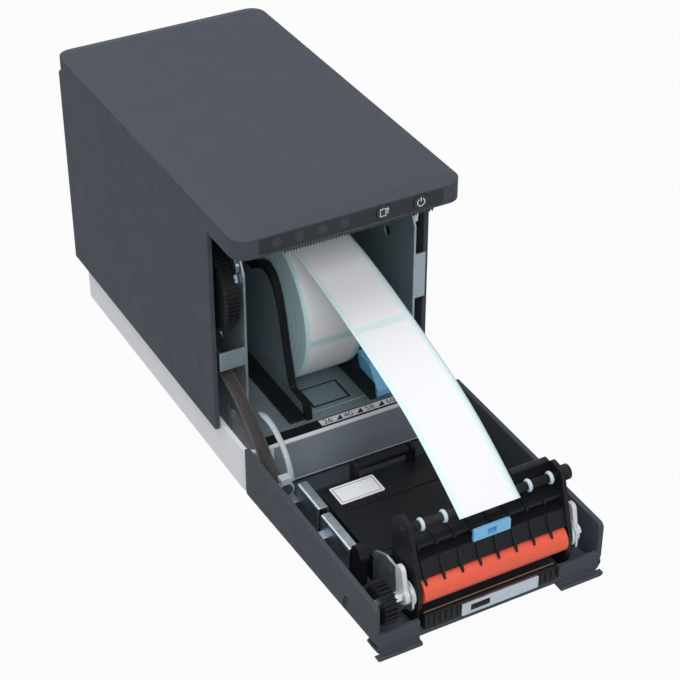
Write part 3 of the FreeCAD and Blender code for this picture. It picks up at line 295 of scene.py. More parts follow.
def shader(name, **values):
    """A material with one Principled shader and its plain values."""
    made = bpy.data.materials.new(name)
    made.use_nodes = True
    tree = made.node_tree
    principled = tree.nodes["Principled BSDF"]
    for key, value in values.items():
        principled.inputs[key.replace("_", " ")].default_value = value
    return made, tree, principled.inputs


def dressed(name, pattern, light, dark, scale, gloss, relief, radius, highlight_colour, highlight_share, **values):
    """A finish from one pattern group: toned colour, edges painted lighter as a highlight, smudged gloss and
    fine relief.
    """
    made, tree, sockets = shader(name, **values)
    edges = use(tree, EDGE_HIGHLIGHT, Radius=radius)
    key = "Grain" if pattern is MOULDED_GRAIN else "Spangle"
    body = use(tree, pattern, Light=light, Dark=dark, Gloss_low=gloss[0], Gloss_high=gloss[1], **{key: scale})
    # painted highlight: the edge mask lightens the colour along the edges
    painted_highlight = math_node(tree, "MULTIPLY", edges["Edge"], highlight_share)
    tree.links.new(tint(tree, painted_highlight, body["Colour"], highlight_colour), sockets["Base Color"])
    tree.links.new(body["Roughness"], sockets["Roughness"])
    bump = add(tree, "ShaderNodeBump", {"Height": body["Height"], "Normal": edges["Normal"],
                                        "Distance": relief, "Strength": 0.6})
    tree.links.new(bump.outputs[0], sockets["Normal"])
    return made


def plastic(name, light, dark, gloss, grain=2600.0, relief=0.00005, radius=0.0005, edge=0.3, **values):
    """Moulded plastic or rubber."""
    # the painted edge highlight colour, lighter than the plastic; edge sets its share
    highlight_colour = tuple(min(1.0, part * 1.5 + 0.05) for part in light)
    return dressed(name, MOULDED_GRAIN, light, dark, grain, gloss, relief, radius, highlight_colour, edge, **values)


def metal(name, light, dark, gloss, spangle=420.0, relief=0.000015, radius=0.0004, edge=0.5, metallic=1.0):
    """Sheet or turned metal."""
    # the painted edge highlight colour, lighter than the metal; edge sets its share
    highlight_colour = tuple(min(1.0, part * 1.25 + 0.05) for part in light)
    return dressed(name, ROLLED_METAL, light, dark, spangle, gloss, relief, radius, highlight_colour, edge,
                   Metallic=metallic)


# edge: how strongly each finish paints a lighter highlight along its edges
FINISH = {
    "dark_case": plastic("charcoal_case", (0.070, 0.079, 0.098), (0.056, 0.064, 0.081), (0.54, 0.64),
                         relief=0.00008, radius=0.0008, edge=0.4, Specular_IOR_Level=0.07),
    "light_base": plastic("lavender_base", (0.87, 0.885, 0.94), (0.82, 0.835, 0.89), (0.42, 0.54)),
    "black_plastic": plastic("black_moulding", (0.014, 0.015, 0.018), (0.008, 0.009, 0.011), (0.36, 0.5),
                             edge=0.22, Specular_IOR_Level=0.14),
    "panel_plastic": plastic("panel_film", (0.032, 0.035, 0.043), (0.027, 0.03, 0.037), (0.34, 0.42),
                             relief=0.00001, Specular_IOR_Level=0.15),
    "lens_plastic": plastic("status_lens", (0.05, 0.053, 0.064), (0.042, 0.046, 0.056), (0.2, 0.26),
                            relief=0.00001, Specular_IOR_Level=0.2),
    "button_plastic": plastic("button_cap", (0.034, 0.037, 0.045), (0.028, 0.031, 0.038), (0.34, 0.44),
                              relief=0.00002, Specular_IOR_Level=0.2),
    "steel": metal("galvanised_sheet", (0.50, 0.57, 0.63), (0.37, 0.43, 0.49), (0.34, 0.5)),
    # darker than the galvanised sheet: painted shade for the frames in the shaded bay and for the plates'
    # outer faces
    "dark_steel": metal("shaded_sheet", (0.36, 0.45, 0.50), (0.27, 0.35, 0.40), (0.36, 0.5), edge=0.35,
                        metallic=0.6),
    "shaft_steel": metal("ground_shaft", (0.70, 0.72, 0.75), (0.56, 0.58, 0.62), (0.18, 0.28), spangle=900.0),
    "tear_steel": metal("blackened_blade", (0.05, 0.052, 0.06), (0.03, 0.032, 0.038), (0.3, 0.42), edge=0.6),
    # a grey finish for the base's light front wall: painted shade where that wall lies in shadow
    "front_wall_shade": plastic("shaded_front", (0.27, 0.31, 0.36), (0.23, 0.265, 0.31), (0.5, 0.6),
                          Specular_IOR_Level=0.2),
    "foot_rubber": plastic("foot_rubber", (0.03, 0.03, 0.032), (0.02, 0.02, 0.022), (0.7, 0.82),
                           grain=1800.0),
    "platen_red": plastic("platen_rubber_red", (0.86, 0.125, 0.065), (0.76, 0.09, 0.045), (0.42, 0.55),
                          grain=2200.0, relief=0.00003, edge=0.2),
    "ring_rubber": plastic("ring_rubber_blue", (0.55, 0.68, 0.78), (0.46, 0.6, 0.71), (0.3, 0.42)),
    "blue_plastic": plastic("blue_moulding", (0.21, 0.55, 0.84), (0.16, 0.46, 0.75), (0.34, 0.46), edge=0.35),
    "white_plastic": plastic("natural_moulding", (0.70, 0.71, 0.72), (0.62, 0.63, 0.65), (0.34, 0.46)),
    "core_card": plastic("core_card", (0.55, 0.43, 0.29), (0.44, 0.34, 0.22), (0.75, 0.88), grain=900.0),
    "scale_paper": plastic("scale_paper", (0.88, 0.89, 0.91), (0.83, 0.845, 0.87), (0.45, 0.55), grain=1500.0,
                           relief=0.00001),
    "head_aluminium": metal("bare_aluminium", (0.72, 0.73, 0.74), (0.6, 0.61, 0.62), (0.28, 0.4)),
    "board_green": plastic("solder_resist", (0.03, 0.17, 0.085), (0.022, 0.13, 0.065), (0.22, 0.32)),
    "motor_metal": metal("motor_can", (0.45, 0.46, 0.47), (0.36, 0.37, 0.38), (0.26, 0.4)),
    "wire_brass": metal("aged_bronze", (0.15, 0.11, 0.07), (0.10, 0.075, 0.05), (0.34, 0.46)),
    "tie_nylon": plastic("tie_nylon", (0.50, 0.56, 0.61), (0.42, 0.48, 0.53), (0.24, 0.34), relief=0.00002,
                         Subsurface_Weight=0.25, Subsurface_Scale=0.002),
}


BORDER_INSET, BORDER_HALF = 0.0014, 0.00018


def info_card():
    """A bare white sticker with a thin printed border; distances from its middle give the line."""
    low, high = (np.array(corner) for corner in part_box("info_label"))
    made, tree, sockets = shader("bare_sticker")
    parts = coordinate(tree, "Object")
    reach = []
    for axis in (0, 1):
        middle, half = float(low[axis] + high[axis]) / 2, float(high[axis] - low[axis]) / 2
        away = math_node(tree, "ABSOLUTE", math_node(tree, "SUBTRACT", parts[axis], middle))
        reach.append(math_node(tree, "SUBTRACT", half, away))
    inset = math_node(tree, "MINIMUM", *reach)
    line = math_node(tree, "COMPARE", inset, BORDER_INSET, BORDER_HALF)
    body = use(tree, MOULDED_GRAIN, Light=(0.88, 0.89, 0.91), Dark=(0.83, 0.845, 0.87), Grain=1500.0,
               Gloss_low=0.38, Gloss_high=0.5)
    tree.links.new(tint(tree, line, body["Colour"], (0.12, 0.125, 0.135)), sockets["Base Color"])
    tree.links.new(body["Roughness"], sockets["Roughness"])
    return made


LINER, LINER_DEEP = (0.60, 0.82, 0.85), (0.50, 0.74, 0.78)
PAPER = (0.86, 0.875, 0.90)
LABEL_PITCH, LABEL_GAP, LABEL_HALF = 178.0, 4.2, 14.5


def paper_web(name, along_shift, painted_light):
    """Labels on a liner, from the UV map in metres, u across, v along; painted_light draws the liner towards
    white, painted light for a brightly lit web.
    """
    made, tree, sockets = shader(name)
    parts = coordinate(tree, "UV")
    across = math_node(tree, "MULTIPLY", parts[0], 1 / MM)
    along = math_node(tree, "MULTIPLY_ADD", parts[1], 1 / MM, along_shift)
    print_mask = use(tree, LABEL_WEB, Across=across, Along=along, Half_width=LABEL_HALF, Pitch=LABEL_PITCH,
                     Gap=LABEL_GAP)
    deep, clear = (tuple(part + painted_light * (1 - part) for part in tone) for tone in (LINER_DEEP, LINER))
    liner = tint(tree, print_mask["Fibre"], deep, clear)
    paper = tint(tree, print_mask["Fibre"], tuple(part * 0.95 for part in PAPER), PAPER)
    tree.links.new(tint(tree, print_mask["Paper"], liner, paper), sockets["Base Color"])
    tree.links.new(span(tree, print_mask["Paper"], 0.0, 1.0, 0.34, 0.52), sockets["Roughness"])
    step = add(tree, "ShaderNodeBump", {"Height": print_mask["Paper"], "Distance": 0.0001, "Strength": 0.8})
    weave = add(tree, "ShaderNodeBump", {"Height": print_mask["Fibre"], "Distance": 0.00002, "Strength": 0.4,
                                         "Normal": step.outputs[0]})
    tree.links.new(weave.outputs[0], sockets["Normal"])
    return made


def roll_ends():
    """The edges of the wound layers: noise that runs only with the radius, between liner and paper."""
    made, tree, sockets = shader("wound_layers")
    parts = coordinate(tree, "UV")
    ring = add(tree, "ShaderNodeTexNoise", {"W": math_node(tree, "MULTIPLY", parts[1], 2600.0), "Scale": 1.0,
                                            "Detail": 2.0}, noise_dimensions="1D").outputs[0]
    bands = add(tree, "ShaderNodeTexNoise", {"W": math_node(tree, "MULTIPLY", parts[1], 420.0), "Scale": 1.0},
                noise_dimensions="1D").outputs[0]
    mask = math_node(tree, "MULTIPLY_ADD", ring, 0.5, math_node(tree, "MULTIPLY", bands, 0.4))
    layered = tint(tree, span(tree, mask, 0.25, 0.7), (0.36, 0.58, 0.62), (0.70, 0.84, 0.87))
    tree.links.new(layered, sockets["Base Color"])
    tree.links.new(span(tree, ring, 0.3, 0.7, 0.5, 0.7), sockets["Roughness"])
    bump = add(tree, "ShaderNodeBump", {"Height": ring, "Distance": 0.0001, "Strength": 0.6})
    tree.links.new(bump.outputs[0], sockets["Normal"])
    return made


BRAID_PER_METRE, BRAID_ROUND = 3600.0, 12.0


def braid():
    """Braided sleeve: two crossing sets of diagonal ridges, u along and v around; the higher one shows."""
    made, tree, sockets = shader("braided_sleeve", Sheen_Weight=0.25, Sheen_Roughness=0.5)
    parts = coordinate(tree, "UV")
    along = math_node(tree, "MULTIPLY", parts[0], BRAID_PER_METRE)
    around = math_node(tree, "MULTIPLY", parts[1], 2.0 * math.pi * BRAID_ROUND)
    ridges = [math_node(tree, "SINE", math_node(tree, kind, along, around)) for kind in ("ADD", "SUBTRACT")]
    height = math_node(tree, "MAXIMUM", *ridges)
    where = add(tree, "ShaderNodeTexCoord").outputs["Object"]
    fuzz = add(tree, "ShaderNodeTexNoise", {"Vector": where, "Scale": 900.0, "Detail": 5.0}).outputs[0]
    # the colour is darker in the low parts between the ridges, painted shade in the weave; the fuzz noise
    # varies the tone at random
    tone = math_node(tree, "MULTIPLY", span(tree, height, -0.6, 1.0), span(tree, fuzz, 0.2, 0.8, 0.55, 1.0))
    tree.links.new(tint(tree, tone, (0.008, 0.007, 0.007), (0.033, 0.028, 0.028)), sockets["Base Color"])
    tree.links.new(span(tree, fuzz, 0.2, 0.8, 0.62, 0.85), sockets["Roughness"])
    bump = add(tree, "ShaderNodeBump", {"Height": tone, "Distance": 0.0003, "Strength": 0.8})
    tree.links.new(bump.outputs[0], sockets["Normal"])
    return made


def ink(name, colour):
    """Printed ink with a slightly uneven film."""
    thin = tuple(part * 0.85 for part in colour)
    return plastic(name, colour, thin, (0.4, 0.5), grain=1800.0, relief=0.00001, edge=0.0)


# every CAD node takes the finish of its own slot, and the soft ones, which are replaced, a plain paper

slots = {entry["node"]: entry["material_slot"] for entry in frame["record"]["subparts"]}
for name, piece in frame["nodes"].items():
    piece.data.materials.clear()
    piece.data.materials.append(FINISH.get(slots[name], FINISH["scale_paper"]))
frame["nodes"]["info_label"].data.materials[0] = info_card()


def finish_piece(piece, finish, body=None):
    """Gives a new piece its finish and the body that it rides on."""
    if finish is not None:
        piece.data.materials.append(finish)
    if body:
        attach(piece, body)
    return piece


# label roll and web

ROLL_Y, ROLL_Z, ROLL_RADIUS, CORE_RADIUS = 74.0, 68.3, 46.0, 19.0
WEB_LEFT, WEB_RIGHT = -12.9, 21.5
ROLL_LAYERS, ROLL_SIDES, LAYER_STEP = 61, 180, 0.22
# the web's liner is drawn paler than the roll's: painted light for the brightly lit web
WEB_THICK, WEB_PAINTED_LIGHT = 0.16, 0.3
GAP_ON_ROLL, GAP_ON_WEB_Y = math.radians(355.0) * ROLL_RADIUS, -22.0


def wound_roll():
    """A profile turned about the roll's axis: up the left end, across the rim and down the right end.

    Each wound layer stands in by its own small step, drawn from a fixed row of random numbers. In the UV map,
    v is the radius on both ends; on the rim u runs across and v round it, up to the ends' edges."""
    layers = np.linspace(CORE_RADIUS, ROLL_RADIUS, ROLL_LAYERS)
    step = np.random.RandomState(7).uniform(0.0, LAYER_STEP, (2, layers.size))
    step[:, [0, -1]] = 0.02
    rim = np.linspace(WEB_LEFT, WEB_RIGHT, 9)[1:-1]
    across = np.concatenate([WEB_LEFT + step[0], rim, (WEB_RIGHT - step[1])[::-1]])[:, None]
    radius = np.concatenate([layers, np.full(rim.size, ROLL_RADIUS), layers[::-1]])[:, None]
    angle = np.linspace(0, 2 * math.pi, ROLL_SIDES, endpoint=False)
    grid = np.stack(np.broadcast_arrays(across, ROLL_Y - radius * np.cos(angle),
                                        ROLL_Z + radius * np.sin(angle)), axis=-1)
    on_end = np.repeat([True, False, True], [layers.size, rim.size, layers.size])[:, None]
    middle = (WEB_LEFT + WEB_RIGHT) / 2
    swept = np.linspace(0, 2 * math.pi, ROLL_SIDES + 1) * ROLL_RADIUS * MM
    u = np.where(on_end, 0.0, (across - middle) * MM) + 0 * swept
    v = np.where(on_end, radius * MM, swept)
    piece = surface("wound_roll", place(grid), np.stack([u, v], axis=-1), around=True)
    piece.data.materials.append(roll_ends())
    piece.data.materials.append(paper_web("roll_face", -GAP_ON_ROLL, 0.0))
    rim_start, rim_stop = layers.size - 1, layers.size + rim.size - 1
    on_rim = np.zeros((across.size - 1, ROLL_SIDES), np.int32)
    on_rim[rim_start:rim_stop + 1] = 1
    piece.data.polygons.foreach_set("material_index", on_rim.ravel())
    uv_map = piece.data.uv_layers["UVMap"].data
    uv = np.zeros(len(uv_map) * 2, np.float32)
    uv_map.foreach_get("uv", uv)
    uv = uv.reshape(-1, ROLL_SIDES, 4, 2)
    for row, corners, edge in ((rim_start, (0, 3), WEB_LEFT), (rim_stop, (1, 2), WEB_RIGHT)):
        uv[row][:, corners, 0] = (edge - middle) * MM
        uv[row][:, corners, 1] = np.stack([swept[:-1], swept[1:]], axis=-1)
    uv_map.foreach_set("uv", uv.ravel())
    return piece


roll = wound_roll()
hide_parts("label_roll")
finish_piece(roll, None, "label_roll")

WEB_ROUTE = [(88, 112.4), (80, 114.5), (60, 117.6), (35, 116.6), (8, 111.6), (-20, 105.0), (-71, 91.6),
             (-100, 78.0), (-121, 66.0), (-128.7, 61.2)]
WEB_SAG = 0.35


def label_sheet():
    """The free web: a spline down the middle, carried across with a shallow trough, deepest halfway."""
    line = eased(WEB_ROUTE, 140)
    run = lengths(line)
    across = np.linspace(WEB_LEFT, WEB_RIGHT, 19)
    share = (across - across.mean()) / np.ptp(across) * 2
    sag = np.sin(np.pi * np.clip(run / run[-1], 0, 1))[:, None] * WEB_SAG * (share ** 2 - 1)[None]
    grid = np.stack(np.broadcast_arrays(across, line[:, :1], line[:, 1:] + sag), axis=-1)
    uv = np.stack(np.broadcast_arrays((across - across.mean()) * MM, run[:, None] * MM), axis=-1)
    gap_at = float(np.interp(-GAP_ON_WEB_Y, -line[:, 0], run))
    return surface("label_sheet", place(grid), uv), gap_at, float(run[-1])


web, gap_at, web_length = label_sheet()
thin = web.modifiers.new("liner_thickness", "SOLIDIFY")
thin.thickness = WEB_THICK * MM
thin.offset = 0.0
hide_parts("label_web")
finish_piece(web, paper_web("web_face", -gap_at, WEB_PAINTED_LIGHT), "chassis")
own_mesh(web)

# guide roller with its rings, and the ribs of the guide frame

ROLLER_Y, ROLLER_Z = -122.5, 61.0
ROLLER_FLUTES, FLUTE_DEPTH = 24, 0.14
GUIDE_LEFT = -39.7
RING_SPOTS = (-30.7, -18.1, 29.9, 42.3, -5.2, 19.0)
OPEN_RINGS = 4  # the rings after these lie under the web, and are lower
RING_HALF, RING_MIDDLE, OPEN_PROUD, WEB_PROUD = 1.1, 2.4, 1.0, 0.75


def turned(name, across, radius, sides, ridge=0.0, loop=False):
    """A profile turned about the guide roller's axis; with a ridge, the radius waves once a flute."""
    across, radius = np.asarray(across, float)[:, None], np.asarray(radius, float)[:, None]
    angle = np.linspace(0, 2 * math.pi, sides, endpoint=False)
    reach = radius + np.reshape(ridge, (-1, 1)) * np.cos(ROLLER_FLUTES * angle)
    grid = np.stack(np.broadcast_arrays(across, ROLLER_Y - reach * np.cos(angle),
                                        ROLLER_Z + reach * np.sin(angle)), axis=-1)
    uv = opened(np.linspace(0, 1, len(across) + loop), np.linspace(0, 1, sides + 1))
    return surface(name, place(grid), uv, around=True, loop=loop)


def ribbed_roller():
    """Plain journals, a ribbed length between them and a knob on the right end, as one turned profile."""
    across = np.array([-1, -1, 2.6, 2.7, 2.9, 85.1, 85.3, 85.4, 89, 89.01, 89.4, 92.6, 93, 93]) + GUIDE_LEFT
    radius = [0, 1.8, 1.8, 1.8, 2.2, 2.2, 1.8, 1.8, 1.8, 3.5, 4.0, 4.0, 3.5, 0]
    ridge = np.zeros(across.size)
    ridge[4:6] = FLUTE_DEPTH
    return turned("ribbed_roller", across, radius, 96, ridge)


roller = ribbed_roller()
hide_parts("guide_roller")
finish_piece(roller, FINISH["black_plastic"], "guide_roller")
bead = np.linspace(0, 2 * math.pi, 20, endpoint=False)
for number, spot in enumerate(RING_SPOTS):
    proud = OPEN_PROUD if number < OPEN_RINGS else WEB_PROUD
    ring = turned(f"guide_ring_{number + 1}", spot - RING_HALF * np.cos(bead),
                  RING_MIDDLE + proud * np.sin(bead), 48, loop=True)
    if number == 0:
        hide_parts("guide_rings")
    finish_piece(ring, FINISH["ring_rubber"], "guide_roller")

PLATEN_Y = -131.0
PATH_FIN = [((9.0, 46.1), (9.0, 45.5)), ((-0.2, 46.1), (0.6, 45.2)), ((-4.6, 37.8), (-3.0, 37.5)),
            ((-6.0, 35.1), (-4.9, 36.0))]
CREST_FIN = [((16.4, 53.7), (16.4, 52.6)), ((7.2, 54.0), (7.2, 52.8)), ((2.4, 53.0), (3.7, 52.0)),
             ((2.4, 50.6), (3.7, 50.8))]
FIN_COUNT, FIN_PITCH, FIRST_FIN, FIN_HALF = 9, 10.2, -35.05, 0.6


def guide_fin(name, edges, x):
    """A thin rib: pairs of outer and inner edge points, carried across the rib's width, ends closed."""
    points = np.array(edges) + (PLATEN_Y, 0.0)
    first, last = (end.mean(axis=1, keepdims=True).repeat(2, axis=1) for end in (points[:1], points[-1:]))
    points = np.concatenate([first, points, last])
    half = np.r_[0.0, np.full(len(edges), FIN_HALF), 0.0][:, None]
    across = x + half * np.array([-1.0, 1.0, 1.0, -1.0])
    grid = np.concatenate([across[..., None], points[:, [0, 0, 1, 1]]], axis=-1)
    uv = opened(np.linspace(0, 1, len(points)), np.linspace(0, 1, 5))
    piece = surface(name, place(grid), uv, around=True, smooth=False)
    finish_piece(piece, FINISH["black_plastic"], "front_cover")


for number in range(FIN_COUNT):
    guide_fin(f"path_fin_{number + 1}", PATH_FIN, FIRST_FIN + FIN_PITCH * number)
    guide_fin(f"crest_fin_{number + 1}", CREST_FIN, FIRST_FIN + FIN_PITCH * number)

# roll guide plates, thin films and tear teeth

PLATE_LINE = [(20.2, 22.2)] * 3 + [(22.0, 31.2)] * 2 + [(38.6, 31.6)] * 2 + [
    (45.6, 55), (50.5, 78), (56.5, 92), (66, 97.5), (76, 94)] + [(83, 88.5)] * 2 + [(101, 88.2)] * 2 + [
    (124, 74)] * 2 + [(126.4, 22.2)] * 3
PLATE_MIDDLE = np.array([60.0, 28.0])
PLATE_SKIN = 0.94


def guide_plate(name, faces, flip, body):
    """A plate on a spline outline, drawn in towards a middle point that all of the outline can see.

    Rows run from the inner face over the rim to a slightly sunk outer face, the skin, in its own finish."""
    line = eased(PLATE_LINE, 96)[::-1 if flip else 1]
    inner, rim, skin = faces
    rows = [(0.0, inner), (1.0, inner), (1.0, rim), (PLATE_SKIN, rim), (PLATE_SKIN, skin), (0.0, skin)]
    grid = np.stack([np.c_[np.full(len(line), x), PLATE_MIDDLE + share * (line - PLATE_MIDDLE)]
                     for share, x in rows])
    uv = opened(np.linspace(0, 1, len(rows)), np.linspace(0, 1, len(line) + 1))
    piece = surface(name, place(grid), uv, around=True, smooth=False)
    finish_piece(piece, FINISH["black_plastic"], body)
    piece.data.materials.append(FINISH["dark_steel"])
    on_skin = np.arange(len(rows) - 1) == len(rows) - 2
    piece.data.polygons.foreach_set("material_index", np.repeat(on_skin, len(line)).astype(np.int32))


guide_plate("left_roll_plate", (-13.62, -17.6, -17.0), True, "left_guide")
guide_plate("right_roll_plate", (22.22, 25.76, 25.58), False, "right_guide")


def film(name, corners, finish="black_plastic"):
    """Thin flat films, each from its four corners in turn, in millimetres."""
    piece = new_piece(name, place(corners), np.arange(len(corners) * 4).reshape(-1, 4).tolist())
    finish_piece(piece, FINISH[finish], "chassis")


TRAY_TOP = 22.04


def level(left, front, right, back, height=TRAY_TOP):
    """Corners of a level rectangle, seen from above."""
    return [(left, front, height), (right, front, height), (right, back, height), (left, back, height)]


def upright(left, low, right, high, front):
    """Corners of an upright rectangle, seen from the front."""
    return [(left, front, low), (right, front, low), (right, front, high), (left, front, high)]


film("tray_front_band", [level(-45.8, 5.8, 54.3, 17.6)])
film("sensor_window_line", [level(-8.6, 28.2, 14.6, 29.4), level(-8.6, 45.2, 14.6, 46.2),
                            level(-8.6, 29.4, -7.4, 45.2), level(13.4, 29.4, 14.6, 45.2)])
# a grey film over the base's light front wall: painted shade standing in for the shadow on it
film("front_wall_shade_film", [upright(-46, 1.0, 46, 26.2, 2.12)], "front_wall_shade")
film("hinge_apron", [level(-46, -0.4, 46, 2.6, -0.1), upright(-46, -0.5, 46, -0.1, -0.4)])

TEETH_LEFT, TEETH_RIGHT, TEETH_EDGES = -38.7, 47.3, 109
TOOTH_TIP, TOOTH_VALLEY, TEETH_SEAT = 146.2, 148.2, 148.05
TEETH_Y, TEETH_HALF = 0.9, 0.4


def tear_teeth():
    """A strip with a zigzag lower edge: a four-cornered section carried along x, whose low side zigzags.

    At both ends the section shrinks to a point."""
    across = np.linspace(TEETH_LEFT, TEETH_RIGHT, TEETH_EDGES)
    low = np.where(np.arange(across.size) % 2, TOOTH_TIP, TOOTH_VALLEY)
    across = np.r_[across[0], across, across[-1]]
    low = np.r_[TEETH_SEAT, low, TEETH_SEAT]
    half = TEETH_HALF * np.r_[0.0, np.ones(TEETH_EDGES), 0.0]
    front, back, high = TEETH_Y - half, TEETH_Y + half, TEETH_SEAT + half
    section = (front, low), (front, high), (back, high), (back, low)
    grid = np.stack([np.stack([across, y, z], axis=-1) for y, z in section], axis=1)
    uv = opened(np.linspace(0, 1, across.size), np.linspace(0, 1, 5))
    return surface("tear_teeth", place(grid), uv, around=True, smooth=False)


finish_piece(tear_teeth(), FINISH["tear_steel"], "chassis")

# harness sleeve and its tie

SLEEVE_RADIUS = 3.5
SLEEVE_ROUTE = [(-55, 58, 58), (-55, 38, 56), (-55, 18, 47), (-55, 2, 36), (-55, -12, 24), (-55, -30.4, 24)]


def sleeve_line():
    """Points of the sleeve's middle line, read from a spline with the route as its control points."""
    route = place(SLEEVE_ROUTE)
    curve = bpy.data.curves.new("sleeve_line", "CURVE")
    curve.dimensions = "3D"
    curve.resolution_u = 16
    spline = curve.splines.new("NURBS")
    spline.points.add(len(route) - 1)
    spline.points.foreach_set("co", np.c_[route, np.ones(len(route))].astype(np.float32).ravel())
    spline.order_u = 3
    spline.use_endpoint_u = True
    return read_curve(curve)[0]


def heading(line):
    """The direction of a line of points at each point, one long."""
    tangent = np.gradient(line, axis=0)
    return tangent / np.linalg.norm(tangent, axis=1)[:, None]


def sleeve():
    """A circle carried along the line: its two directions are the printer's width and the line's own normal.

    At both ends the circle shrinks to a point."""
    line = sleeve_line()
    run = lengths(line)
    tangent = heading(line)
    wide = np.broadcast_to(np.array([1.0, 0.0, 0.0]), tangent.shape)
    upward = np.cross(tangent, wide)
    angle = np.linspace(0, 2 * math.pi, 36, endpoint=False)
    inner = np.r_[0.0, 0.9, np.ones(len(line)), 0.9, 0.0]
    rows = np.r_[0, 0, np.arange(len(line)), len(line) - 1, len(line) - 1]
    cosine, sine = np.cos(angle)[None, :, None], np.sin(angle)[None, :, None]
    circle = cosine * wide[rows][:, None] - sine * upward[rows][:, None]
    grid = line[rows][:, None] + circle * (SLEEVE_RADIUS * MM * inner)[:, None, None]
    uv = opened(run[rows], np.linspace(0, 1, angle.size + 1))
    return surface("harness_braid", grid, uv, around=True), line, float(run[-1])


sleeve_piece, sleeve_path, sleeve_length = sleeve()
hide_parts("harness_sleeve")
finish_piece(sleeve_piece, braid())
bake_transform(sleeve_piece)

TAIL_ROUTE = [(-28.4, 28.2), (-27.6, 33), (-22, 43.5), (-8, 50.4), (2, 50.2), (10, 46.8)]
TAIL_X, TAIL_HALF, TAIL_THICK, TAIL_LEAN = -51.4, 1.9, 0.45, 0.35


def tie_tail():
    """The tie's cut tail: a narrow box section carried along a spline, pointed over its last sixth."""
    line = eased(TAIL_ROUTE, 48)
    run = lengths(line) / lengths(line)[-1]
    tangent = heading(line)
    normal = np.stack([-tangent[:, 1], tangent[:, 0]], axis=-1)
    half = TAIL_HALF * np.clip((1 - run) / 0.16, 0.02, 1)
    thick = TAIL_THICK * np.clip((1 - run) / 0.05, 0.2, 1)
    corner = np.array([(-1, -1), (1, -1), (1, 1), (-1, 1)], float)
    x = TAIL_X + corner[None, :, 0] * half[:, None] * (1 - TAIL_LEAN)
    shift = corner[None, :, 1] * thick[:, None] + corner[None, :, 0] * half[:, None] * TAIL_LEAN
    grid = np.stack([x, line[:, :1] + normal[:, :1] * shift, line[:, 1:] + normal[:, 1:] * shift], axis=-1)
    uv = opened(run, np.linspace(0, 1, 5))
    return surface("tie_tail", place(grid), uv, around=True)


tail = finish_piece(tie_tail(), FINISH["tie_nylon"])
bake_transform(tail)

# prints: scale figures and panel marks

INK = ink("black_ink", (0.02, 0.021, 0.024))
PALE_INK = ink("pale_ink", (0.82, 0.84, 0.88))
FAINT_INK = ink("faint_ink", (0.085, 0.08, 0.09))
PRINT_LIFT = 0.04
SCALE_Y, SCALE_Z = 14.1, 22.3 + PRINT_LIFT
FIGURE_SIZE = 5.6


def printed(name, points, faces, finish, body):
    """A flat printed mark from points and faces in the frame's metres."""
    finish_piece(new_piece(name, points, faces), finish, body)


def scale_figure(words, x):
    """Figures on the scale strip: a text outline made a mesh, centred on its own box, then put in place."""
    name = f"scale_figure_{words}"
    curve = bpy.data.curves.new(name, "FONT")
    curve.body = words
    curve.size = FIGURE_SIZE * MM
    curve.resolution_u = 3
    points, faces = read_curve(curve)
    points -= (points.min(axis=0) + points.max(axis=0)) / 2
    printed(name, points + place((x, SCALE_Y, SCALE_Z)), faces, INK, "chassis")


for words, x in (("26", -7.4), ("40", 5.2), ("58", 18.6), ("60", 31.6)):
    scale_figure(words, x)
for number, x in enumerate((-0.9, 11.8, 25.2, 37.6)):
    corners = [(x - 2.0, SCALE_Y - 1.9, SCALE_Z), (x + 2.0, SCALE_Y - 1.9, SCALE_Z),
               (x + 2.0, SCALE_Y + 2.1, SCALE_Z)]
    printed(f"scale_pointer_{number + 1}", place(corners), [(0, 1, 2)], INK, "chassis")


def front_of(node, finish, body, slot):
    """How a print lies on a node's front face: its y in millimetres, and its ink, body and slot."""
    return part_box(node)[0][1] / MM + BEZEL_Y - PRINT_LIFT, finish, body, slot


def arc_mark(name, x, z, radii, turn, face):
    """Part of a flat ring that faces the front: radius across, angle along, both on one grid."""
    front, finish, body, slot = face
    travel, radius = np.linspace(0, 1, 48), np.array(radii)
    angle = np.radians(np.linspace(*turn, travel.size))[:, None]
    grid = np.stack(np.broadcast_arrays(x + radius * np.cos(angle), front, z + radius * np.sin(angle)),
                    axis=-1)
    finish_piece(surface(name, place(grid), opened(travel, radius)), finish, body)


def bar_mark(name, x, corners, face):
    """A flat straight-sided mark that faces the front, from its corners about its sign's middle, in turn."""
    front, finish, body, slot = face
    points = place([(x + side, front, SIGN_Z + rise) for side, rise in corners])
    printed(name, points, [tuple(range(len(corners)))], finish, body)


def bar(left, low, right, high):
    """The four corners of a bar, from its edges."""
    return [(left, low), (right, low), (right, high), (left, high)]


POWER_X, FEED_X, SIGN_Z = 39.0, 17.5, 154.4
STATUS_X, STATUS_PITCH, STATUS_COUNT = -42.8, 12.7, 4
FEED_BARS = {"left": (-2.4, -2.2, -2.0, 2.2), "low": (-2.0, -2.2, 1.2, -1.8), "right": (0.8, -1.8, 1.2, 2.2),
             "high": (-2.0, 1.8, 0.8, 2.2), "line": (1.9, -1.2, 2.3, 1.4)}
power_face = front_of("power_button", PALE_INK, "power_button", "button_plastic")
feed_face = front_of("feed_button", PALE_INK, "feed_button", "button_plastic")
panel_face = front_of("control_panel", FAINT_INK, "chassis", "panel_plastic")
arc_mark("power_arc", POWER_X, SIGN_Z - 0.2, (2.35, 1.85), (120, 420), power_face)
bar_mark("power_bar", POWER_X, bar(-0.28, 0.3, 0.28, 2.7), power_face)
for side, edges in FEED_BARS.items():
    bar_mark(f"feed_{side}", FEED_X, bar(*edges), feed_face)
bar_mark("feed_arrow", FEED_X, [(1.3, 1.2), (2.9, 1.2), (2.1, 2.5)], feed_face)
for number in range(STATUS_COUNT):
    arc_mark(f"status_ring_{number + 1}", STATUS_X + STATUS_PITCH * number, SIGN_Z, (2.55, 2.3), (0, 360),
             panel_face)

# floor, light and camera

FLOOR_HALF, FLOOR_GLOW, SKY_LIGHT = 12.0, 0.95, 0.30


